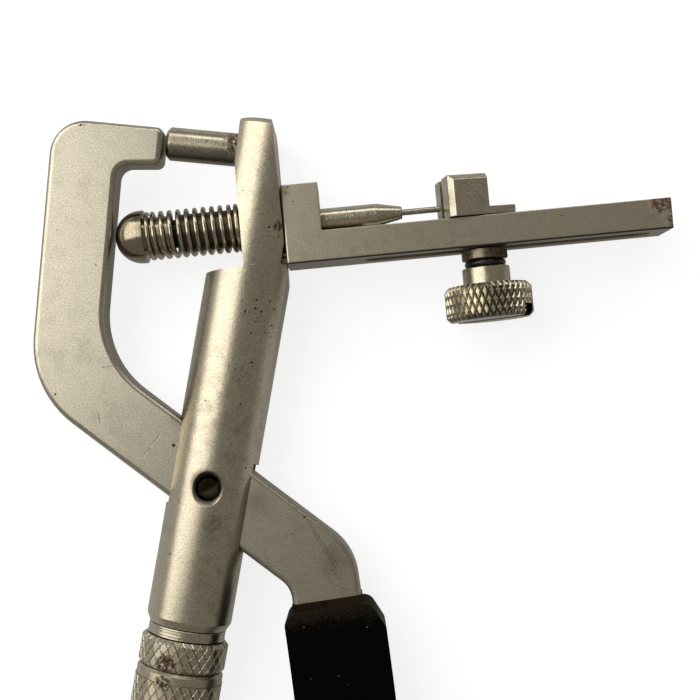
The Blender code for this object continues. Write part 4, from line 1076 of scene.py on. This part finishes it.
# %% A tree with named inputs
class Rule(Nodes):
    """A Geometry Nodes tree with named number inputs that makes a mesh of one material."""

    def __init__(self, name, sizes, material):
        super().__init__(bpy.data.node_groups.new(name, "GeometryNodeTree"))
        self.sizes, self.sockets, self.material = sizes, {}, material
        for label, value in sizes.items():
            kind = "NodeSocketInt" if isinstance(value, int) else "NodeSocketFloat"
            socket = self.tree.interface.new_socket(label, in_out="INPUT", socket_type=kind)
            self.sockets[label] = socket.identifier
        self.tree.interface.new_socket("Mesh", in_out="OUTPUT", socket_type="NodeSocketGeometry")
        entry = self.tree.nodes.new("NodeGroupInput")
        self.size = {label: Number(self, entry.outputs[label]) for label in sizes}

    def index(self):
        """The number of each point, counted from 0."""
        return Number(self, self.add("GeometryNodeInputIndex").outputs[0])

    def point(self, x, y, z):
        return self.add("ShaderNodeCombineXYZ", {0: x, 1: y, 2: z}).outputs[0]

    def round_point(self, angle, radius):
        """The two sides of a point at this angle on a circle."""
        return self.math("COSINE", angle) * radius, self.math("SINE", angle) * radius

    def make(self, name, geometry):
        """Ends the tree, runs it on a new object and leaves a plain mesh."""
        real = self.add("GeometryNodeRealizeInstances", {"Geometry": geometry}).outputs[0]
        painted = self.add("GeometryNodeSetMaterial", {"Geometry": real, "Material": self.material})
        leave = self.tree.nodes.new("NodeGroupOutput")
        self.link(painted.outputs[0], leave.inputs[0])
        made = bpy.data.objects.new(name, bpy.data.meshes.new(name))
        bpy.context.scene.collection.objects.link(made)
        rule = made.modifiers.new(name, "NODES")
        rule.node_group = self.tree
        for label, value in self.sizes.items():
            rule[self.sockets[label]] = value
        return worked_out(made)


# %% [markdown]
# ## Return spring
#
# A coil of music wire between the head and the post pushes the jaw open. Its end turns are wound
# closed. The rule for a point of the wire: its angle grows evenly, and its height grows slowly
# in the closed turns and faster between them. A circle swept along the points makes the wire.
# When the plunger moves, the spring has to shorten; here it rides on no body.

# %% Wind the spring
def coil(name, sizes, material):
    """A spring round X that starts at 0, with flat caps on its wire."""
    rule = Rule(name, sizes, material)
    size = rule.size
    all_turns, closed, per_turn = size["Turns"], size["Closed turns"], size["Points a turn"]
    line = rule.add("GeometryNodeCurvePrimitiveLine").outputs[0]
    path = rule.add("GeometryNodeResampleCurve", {
        "Curve": line, "Count": all_turns * per_turn + 1.0})
    turns = rule.index() / per_turn
    first = rule.math("MINIMUM", turns, closed)
    last = rule.math("MAXIMUM", turns - (all_turns - closed), 0.0)
    open_length = size["Length"] - closed * 2.0 * size["Closed rise"]
    open_rise = open_length / (all_turns - closed * 2.0)
    height = (first + last) * size["Closed rise"] + (turns - first - last) * open_rise
    place = rule.point(height, *rule.round_point(turns * math.tau, size["Radius"]))
    wound = rule.add("GeometryNodeSetPosition", {"Geometry": path.outputs[0], "Position": place})
    section = rule.add("GeometryNodeCurvePrimitiveCircle", {
        "Resolution": 14, "Radius": size["Wire"] * 0.5})
    wire = rule.add("GeometryNodeCurveToMesh", {
        "Curve": wound.outputs[0], "Profile Curve": section.outputs[0], "Fill Caps": True})
    return rule.make(name, wire.outputs[0])


WIRE, COIL_RADIUS = 0.65, 3.13
spring_low = dome_base + WIRE / 2 + GAP
spring_high = POST_LEFT - WIRE / 2 - GAP
spring_steel = worn_steel(
    "oily_spring_steel", RAIL, (0.46, 0.41, 0.31), 0.19, grain=0.2, pits=0.0, grime=1.0)
spring = coil("coiled_spring", {
    "Turns": 11.5, "Points a turn": 40, "Closed turns": 1.0, "Closed rise": (WIRE + 0.14) * MM,
    "Length": (spring_high - spring_low) * MM, "Radius": COIL_RADIUS * MM, "Wire": WIRE * MM,
}, spring_steel)
settle(spring, RAIL @ moved(spring_low), 60)
mend(spring)
tuple(RAIL @ Vector((spring_low * MM, 0, 0)))
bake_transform(spring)
dress(spring, None, "return_spring")

# %% [markdown]
# ## Knurls
#
# A knurl is a field of small diamonds pressed into a round surface, so that fingers don't slip.
# The rule makes one diamond, a low four-sided block with a flat crest, sets it on every other
# point of a grid, and then rolls the sheet round the axis. Rows past either end are pressed flat
# against it, which closes the cut diamonds. The plain parts of the piece are turned with the
# same number of steps and welded to the sheet.

# %% The knurl rule
def knurl(name, sizes, material):
    """A tube of diamonds about Z, from 0 down to -Length, with its grooves at Radius."""
    rule = Rule(name, sizes, material)
    size = rule.size
    half_width, half_height = math.pi / size["Around"], size["Length"] / size["Rows"]
    corner = rule.add("GeometryNodeMeshCircle", {"Vertices": 4, "Radius": 1.0}, fill_type="NGON")
    block = rule.add("GeometryNodeExtrudeMesh", {
        "Mesh": corner.outputs[0], "Offset Scale": size["Depth"]}).outputs
    crest = rule.add("GeometryNodeScaleElements", {
        "Geometry": block["Mesh"], "Selection": block["Top"], "Scale": size["Crest"]})
    flat = rule.add("GeometryNodeSetShadeSmooth", {
        "Geometry": crest.outputs[0], "Shade Smooth": False})
    diamond = rule.add("GeometryNodeTransform", {
        "Geometry": flat.outputs[0], "Scale": rule.point(half_width, half_height, 1.0)})
    columns, lines = size["Around"] * 2.0, size["Rows"] + 1.0
    grid = rule.add("GeometryNodeMeshGrid", {
        "Size X": half_width * (columns - 1.0), "Size Y": size["Length"],
        "Vertices X": columns, "Vertices Y": lines})
    index = rule.index()
    column = rule.math("FLOOR", (index + 0.5) / lines)
    odd = rule.math("FLOORED_MODULO", index + column * (1.0 - lines), 2.0)
    sheet = rule.add("GeometryNodeInstanceOnPoints", {
        "Points": grid.outputs[0], "Selection": odd < 0.5, "Instance": diamond.outputs[0]})
    real = rule.add("GeometryNodeRealizeInstances", {"Geometry": sheet.outputs[0]})
    place = rule.add("GeometryNodeInputPosition").outputs[0]
    x, y, z = rule.numbers(rule.add("ShaderNodeSeparateXYZ", {0: place}).outputs)
    limit = size["Length"] * 0.5
    y = rule.math("MAXIMUM", rule.math("MINIMUM", y, limit), limit * -1.0)
    rolled = rule.point(*rule.round_point(x, size["Radius"] + z), y - limit)
    tube = rule.add("GeometryNodeSetPosition", {"Geometry": real.outputs[0], "Position": rolled})
    return rule.make(name, tube.outputs[0])


def cut_rims(shape, length, crest_radius, cut):
    """Chamfers both rims of a knurl, where it runs from 0 down to -length."""
    for level in (-cut, cut - length):
        everything = shape.verts[:] + shape.edges[:] + shape.faces[:]
        bmesh.ops.bisect_plane(shape, geom=everything, plane_co=(0, 0, level * MM),
                               plane_no=(0, 0, 1), dist=1e-7)
    for vertex in shape.verts:
        from_rim = min(-vertex.co.z, vertex.co.z + length * MM)
        allowed = (crest_radius - cut) * MM + max(from_rim, 0.0)
        radius = vertex.co.xy.length
        if radius > allowed:
            vertex.co.xy *= allowed / radius
    bmesh.ops.dissolve_degenerate(shape, edges=shape.edges, dist=2e-6)


def grow(shape, level, profile):
    """Adds a turned profile to the open edge at a level, and closes it on the axis."""
    rim = []
    for edge in shape.edges:
        if edge.is_boundary and all(abs(end.co.z - level * MM) < 1e-6 for end in edge.verts):
            first, second = edge.verts
            forward = edge.link_loops[0].vert == second
            rim.append((first, second) if forward else (second, first))
    for radius, height in profile:
        grown = {}
        for vertex in (vertex for edge in rim for vertex in edge):
            if vertex not in grown:
                place = vertex.co.xy.normalized() * max(radius, 1e-3) * MM
                grown[vertex] = shape.verts.new((*place, height * MM))
        for first, second in rim:
            shape.faces.new((first, second, grown[second], grown[first]))
        rim = [(grown[first], grown[second]) for first, second in rim]
    if profile[-1][0] == 0:
        last = list(grown.values())
        bmesh.ops.pointmerge(shape, verts=last, merge_co=(0, 0, profile[-1][1] * MM))


def knurled(name, groove, length, around, rows, depth, crest, top, above, below, material, cut=0.0):
    """A knurl from height top down, welded to turned profiles above and below it."""
    piece = knurl(name, {
        "Radius": groove * MM, "Length": length * MM, "Around": around, "Rows": rows,
        "Depth": depth * MM, "Crest": crest,
    }, material)
    shape = bmesh.new()
    shape.from_mesh(piece.data)
    bmesh.ops.remove_doubles(shape, verts=shape.verts, dist=2e-6)
    bmesh.ops.dissolve_degenerate(shape, edges=shape.edges, dist=2e-6)
    if cut:
        cut_rims(shape, length, groove + depth, cut)
    bmesh.ops.translate(shape, vec=(0, 0, top * MM), verts=shape.verts)
    grow(shape, top, above)
    grow(shape, top - length, below)
    shape.to_mesh(piece.data)
    shape.free()
    mend(piece)
    return piece


# %% [markdown]
# ## Grip, lock ring and stud
#
# The grip screws on a stud in the barrel's foot, and a knurled ring locks it there. Between the
# barrel and the ring shows the stud's plain step, with its lathe rings.

# %% The stud's step
STEP_RADIUS, STEP_LENGTH = 5.45, 1.48
stud_low, stud_high = reach("grip_stud", barrel_axis)
step_top = BARREL_BOTTOM - GAP
step_end = step_top - STEP_LENGTH
step = ripple([
    (STEP_RADIUS - 0.1, step_top), (STEP_RADIUS, step_top - 0.1),
    (STEP_RADIUS, step_end + 0.1), (STEP_RADIUS - 0.1, step_end),
], 0.12, 0.045)
stud_profile = [
    (0, stud_high), (STUD_RADIUS, stud_high), (STUD_RADIUS, step_top), *step,
    (STUD_RADIUS, step_end), (STUD_RADIUS, stud_low), (0, stud_low),
]
stud = settle(turned("stepped_stud", stud_profile), barrel_axis, 50)
dress(stud, "frame", "grip_stud", worn_steel(
    "turned_stud_steel", barrel_axis, roughness=0.26, grain=0.6, rings=1.6, grime=0.4))

# %% The lock ring
KNURL_DEPTH, KNURL_CREST, KNURLS_ROUND, KNURL_ROW = 0.15, 0.80, 30, 1.14
RING_GROOVE, RING_CHAMFER = 6.0, 0.5
ring_low, ring_high = reach("lock_ring", barrel_axis)
ring_steel = worn_steel(
    "knurled_ring_steel", barrel_axis, roughness=0.32, grain=0.7, grime=0.5,
    rust=[((-1.6, -5.9, -25.0), 1.7)], more_pits=[((-1.6, -5.9, -25.4), 1.8)],
)
ring = knurled(
    "knurled_ring", RING_GROOVE, ring_high - ring_low, KNURLS_ROUND, 4, KNURL_DEPTH, KNURL_CREST,
    ring_high, [(stud_bore, ring_high)], [(stud_bore, ring_low), (stud_bore, ring_high)],
    ring_steel, RING_CHAMFER,
)
settle(ring, barrel_axis, 20)
dress(ring, "lock_ring", "lock_ring", ring_steel)

# %% The grip
GRIP_GROOVE, FOOT_RADIUS, FOOT_FILLET = 6.05, 6.2, 1.8
BAND_RADIUS, BAND_LENGTH, BAND_CHAMFER = 6.1, 1.5, 0.38
grip_low, grip_high = reach("knurled_grip", barrel_axis)
band_end, knurl_end, hollow_end = grip_high - BAND_LENGTH, grip_low + 3.0, stud_low - 0.5
rows = round((band_end - knurl_end) / KNURL_ROW)
grip_steel = worn_steel(
    "knurled_grip_steel", barrel_axis, roughness=0.32, grain=0.7, grime=0.45,
    rust=[((-1.4, -5.9, -27.4), 1.2)], more_pits=[((-1.4, -5.9, -27.2), 1.3)],
)
fillet_middle = (FOOT_RADIUS - FOOT_FILLET, grip_low + FOOT_FILLET)
fillet = arc(FOOT_FILLET, fillet_middle, 0, math.radians(-90), 10)
grip = knurled(
    "knurled_handle", GRIP_GROOVE, band_end - knurl_end, KNURLS_ROUND, rows, KNURL_DEPTH,
    KNURL_CREST, band_end, [
        (BAND_RADIUS, band_end + 0.08), (BAND_RADIUS, grip_high - BAND_CHAMFER),
        (BAND_RADIUS - BAND_CHAMFER, grip_high), (stud_bore, grip_high),
        (stud_bore, hollow_end), (0, hollow_end),
    ], [(FOOT_RADIUS, knurl_end), *fillet[1:], (0, grip_low)], grip_steel,
)
settle(grip, barrel_axis, 20)
dress(grip, "frame", "knurled_grip", grip_steel)

# %% [markdown]
# ## Clamp: collar, rubber ring and thumb screw
#
# The thumb screw pulls the stop down on the rail. Over its knurled head sit a smooth neck, a
# black rubber ring that keeps it from working loose, and a rusty collar guided by the slot.

# %% The collar and the rubber ring
GUIDE_RADIUS, FLANGE_RADIUS, COLLAR_BORE = 1.65, 3.25, 1.3
collar_low, collar_high = reach("clamp_collar", clamp_axis)
flange_top = RAIL_BOTTOM - RAIL_TOP - GAP
collar_profile = [
    (GUIDE_RADIUS, collar_high), (GUIDE_RADIUS, flange_top), (FLANGE_RADIUS - 0.1, flange_top),
    (FLANGE_RADIUS, flange_top - 0.1), (FLANGE_RADIUS, collar_low + 0.1),
    (FLANGE_RADIUS - 0.1, collar_low), (COLLAR_BORE, collar_low), (COLLAR_BORE, collar_high),
]
collar = settle(turned("rusty_collar", collar_profile, ring=True), clamp_axis)
collar_rust = [((1.2, -3.0, collar_low + 0.8), 1.7), ((-2.6, -1.9, collar_low + 0.4), 1.0),
               ((2.8, -1.5, collar_low + 0.6), 1.0)]
dress(collar, "carriage", "clamp_collar", worn_steel(
    "rusty_collar_steel", clamp_axis, (0.2, 0.17, 0.12), 0.33, rings=0.6, grime=0.7,
    rust=collar_rust))

RUBBER_MIDDLE, RUBBER_POINTS = 2.45, 28
RUBBER_DARK, RUBBER_LIGHT = (0.003, 0.0025, 0.002), (0.010, 0.008, 0.006)
o_low, o_high = reach("o_ring", clamp_axis)
rubber_middle = (RUBBER_MIDDLE, (o_high + o_low) / 2)
rubber_section = arc((o_high - o_low) / 2, rubber_middle, 0, math.tau, RUBBER_POINTS)
o_ring = settle(turned("rubber_ring", rubber_section[:-1], 112, ring=True), clamp_axis, 80)
rubber = Finish("oily_black_rubber", clamp_axis)
grain = rubber.noise(3.0, 2)
rubber_colour = rubber.over(RUBBER_DARK, RUBBER_LIGHT, grain)
rubber.finish(rubber_colour, grain * 0.15 + 0.22, grain * 0.006, 0.0)
dress(o_ring, "screw_carrier", "o_ring", rubber.material)

# %% The thumb screw
KNOB, KNOB_LENGTH, KNOB_CHAMFER = 6.2, 4.9, 0.6
KNOB_KNURLS, KNOB_GROOVE, KNOB_CREST = 40, 0.34, 0.5
NECK_RADIUS, NECK_LENGTH, SHANK_RADIUS, THREAD_RADIUS = 3.37, 2.5, 1.87, 1.2
COIN_SLOT, COIN_DEPTH, COIN_TURN = 2.0, 1.6, math.radians(-31)
screw_low, screw_high = reach("thumb_screw", clamp_axis)
knob_top = screw_low + KNOB_LENGTH
neck_top, seat_top = knob_top + NECK_LENGTH, collar_low - GAP
neck = ripple([
    (NECK_RADIUS - 0.1, neck_top), (NECK_RADIUS, neck_top - 0.1), (NECK_RADIUS, knob_top),
], 0.13, 0.006)


def dark_parts(made):
    """Painted shade in the bottoms of the knurl's grooves and inside the slot across the screw's
    foot.
    """
    across = made.x * -math.sin(COIN_TURN) + made.y * math.cos(COIN_TURN)
    beside = made.fade(abs(across), COIN_SLOT / 2 + 0.02, COIN_SLOT / 2 + 0.12, 1.0, 0.0)
    slot_top = screw_low + COIN_DEPTH
    in_slot = beside * made.fade(made.z, slot_top, slot_top + 0.1, 1.0, 0.0)
    in_groove = made.fade(made.distance(made.x, made.y), KNOB - 0.32, KNOB - 0.10, 0.6, 0.0)
    on_knob = (made.z < knob_top - 0.02) * (made.z > screw_low + 0.1)
    return made.math("MAXIMUM", in_slot, in_groove * on_knob)


screw_steel = worn_steel(
    "knurled_screw_steel", clamp_axis, roughness=0.27, grain=0.7, rings=0.8, grime=0.45,
    painted_shade=dark_parts,
)
screw = knurled(
    "knurled_screw", KNOB - KNOB_GROOVE, KNOB_LENGTH, KNOB_KNURLS, 4, KNOB_GROOVE, KNOB_CREST,
    knob_top, [
        *reversed(neck), (SHANK_RADIUS, neck_top), (SHANK_RADIUS, seat_top),
        (THREAD_RADIUS, seat_top), (THREAD_RADIUS, screw_high - 0.1),
        (THREAD_RADIUS - 0.1, screw_high), (0, screw_high),
    ], [(0, screw_low)], screw_steel, KNOB_CHAMFER,
)
settle(screw, clamp_axis, 20)
coin_slot = box_between("coin_slot", (-8, screw_low - 1, -COIN_SLOT / 2),
                        (8, screw_low + COIN_DEPTH, COIN_SLOT / 2))
combine(screw, [settle(coin_slot, CLAMP @ Matrix.Rotation(COIN_TURN, 4, "Y"))])
settle(screw, sharp=20)
dress(screw, "thumb_screw", "thumb_screw", screw_steel)

# %% [markdown]
# ## Dowels
#
# Two hidden pins keep the block from turning on the post. They're hardly ever seen, so a short
# turned pin with rounded ends is enough.

# %% Two pins
dowel_steel = worn_steel("ground_dowel_steel", plunger_axis, roughness=0.25)
for name, height in (("upper", 3.65), ("lower", -4.4)):
    node = "bracket_dowel_" + name
    axis = RAIL @ moved(y=height) @ ALONG_X
    low, high = reach(node, axis)
    pin_profile = rounded([(0, high, 0), (0.6, high, 0.15), (0.6, low, 0.15), (0, low, 0)])
    dowel = settle(turned("ground_dowel_" + name, pin_profile, 32), axis)
    dress(dowel, "frame", node, dowel_steel)

# %% [markdown]
# ## Floor and light
#
# The tool lies on a plain pale floor. One broad soft light on the left makes the long bright band
# on the barrel, and the grey world fills the rest. The floor gives the camera and the metal a
# little extra white, so it reads as white where it's lit and still holds the tool's soft shadow.

# %% The floor
def seen_share(nodes, mirrored):
    """The part of the white that a ray sees: 1 for the camera, this share for a mirroring ray."""
    rays = nodes.add("ShaderNodeLightPath").outputs
    straight, glossy, through = nodes.numbers(
        rays[name] for name in ("Is Camera Ray", "Is Glossy Ray", "Is Transmission Ray"))
    return nodes.math("MAXIMUM", straight, nodes.math("MAXIMUM", glossy * mirrored, through))


FLOOR_HALF, FLOOR_GREY = 1.5, 0.36
floor_mesh = bpy.data.meshes.new("floor")
floor_signs = ((-1, -1), (1, -1), (1, 1), (-1, 1))
floor_corners = [(x * FLOOR_HALF, y * FLOOR_HALF, 0) for x, y in floor_signs]
floor_mesh.from_pydata(floor_corners, [], [range(4)])
floor = bpy.data.objects.new("floor", floor_mesh)
bpy.context.scene.collection.objects.link(floor)
floor_paint = bpy.data.materials.new("white_floor")
floor_paint.use_nodes = True
paint = Nodes(floor_paint.node_tree)
surface = paint.tree.nodes["Principled BSDF"].inputs
for socket, value in {
    "Base Color": (FLOOR_GREY, FLOOR_GREY, FLOOR_GREY), "Roughness": 0.9,
    "Specular IOR Level": 0.0, "Emission Color": (1, 1, 1),
    "Emission Strength": seen_share(paint, 0.3) * 0.82,
}.items():
    paint.link(value, surface[socket])
floor_mesh.materials.append(floor_paint)
floor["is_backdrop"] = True


# %% The lights
def soft_light(name, place, aim, width, height, watts, colour=(1, 1, 1), roll=0):
    """A rectangular light, placed and aimed in mm from the pivot, then rolled by degrees."""
    data = bpy.data.lights.new(name, "AREA")
    data.shape, data.size, data.size_y = "RECTANGLE", width * MM, height * MM
    data.energy, data.color = watts, colour
    made = bpy.data.objects.new(name, data)
    made.location = pivot + Vector(place) * MM
    away = (Vector(place) - Vector(aim)).normalized()
    facing = away.to_track_quat("Z", "Y").to_matrix() @ Matrix.Rotation(math.radians(roll), 3, "Z")
    made.rotation_euler = facing.to_euler()
    bpy.context.scene.collection.objects.link(made)


soft_light("key", (-408, 245, 324), (-56, 245, -82), 740, 600, 3.1, (1.0, 0.985, 0.95), roll=16)
soft_light("top", (10, 330, 190), (10, 20, 0), 260, 90, 0.20, (1.0, 0.99, 0.97))

# %% The grey world, white behind the tool
world = bpy.data.worlds.new("studio")
bpy.context.scene.world = world
world.use_nodes = True
sky = Nodes(world.node_tree)
grey = sky.tree.nodes["Background"]
grey.inputs["Color"].default_value = (0.225, 0.216, 0.20, 1)
white = sky.add("ShaderNodeBackground", {"Color": (1, 1, 1)})
backdrop = sky.add("ShaderNodeMixShader", {
    0: seen_share(sky, 0.03), 1: grey.outputs[0], 2: white.outputs[0]})
sky.link(backdrop.outputs[0], sky.tree.nodes["World Output"].inputs["Surface"])
bpy.context.scene.view_settings.view_transform = "Standard"

# %% [markdown]
# ## The size of the dressed tool
#
# The dressed tool has to keep the size of its solids. The box of the solids is printed at the
# start, and here the growth of the dressed tool's box over it is printed.

# %% Print how much the box grew
visual_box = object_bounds()
grown = [[round((b - a) / MM, 3) for a, b in zip(*pair)] for pair in zip(cad_box, visual_box)]
print("grew by mm:", grown)
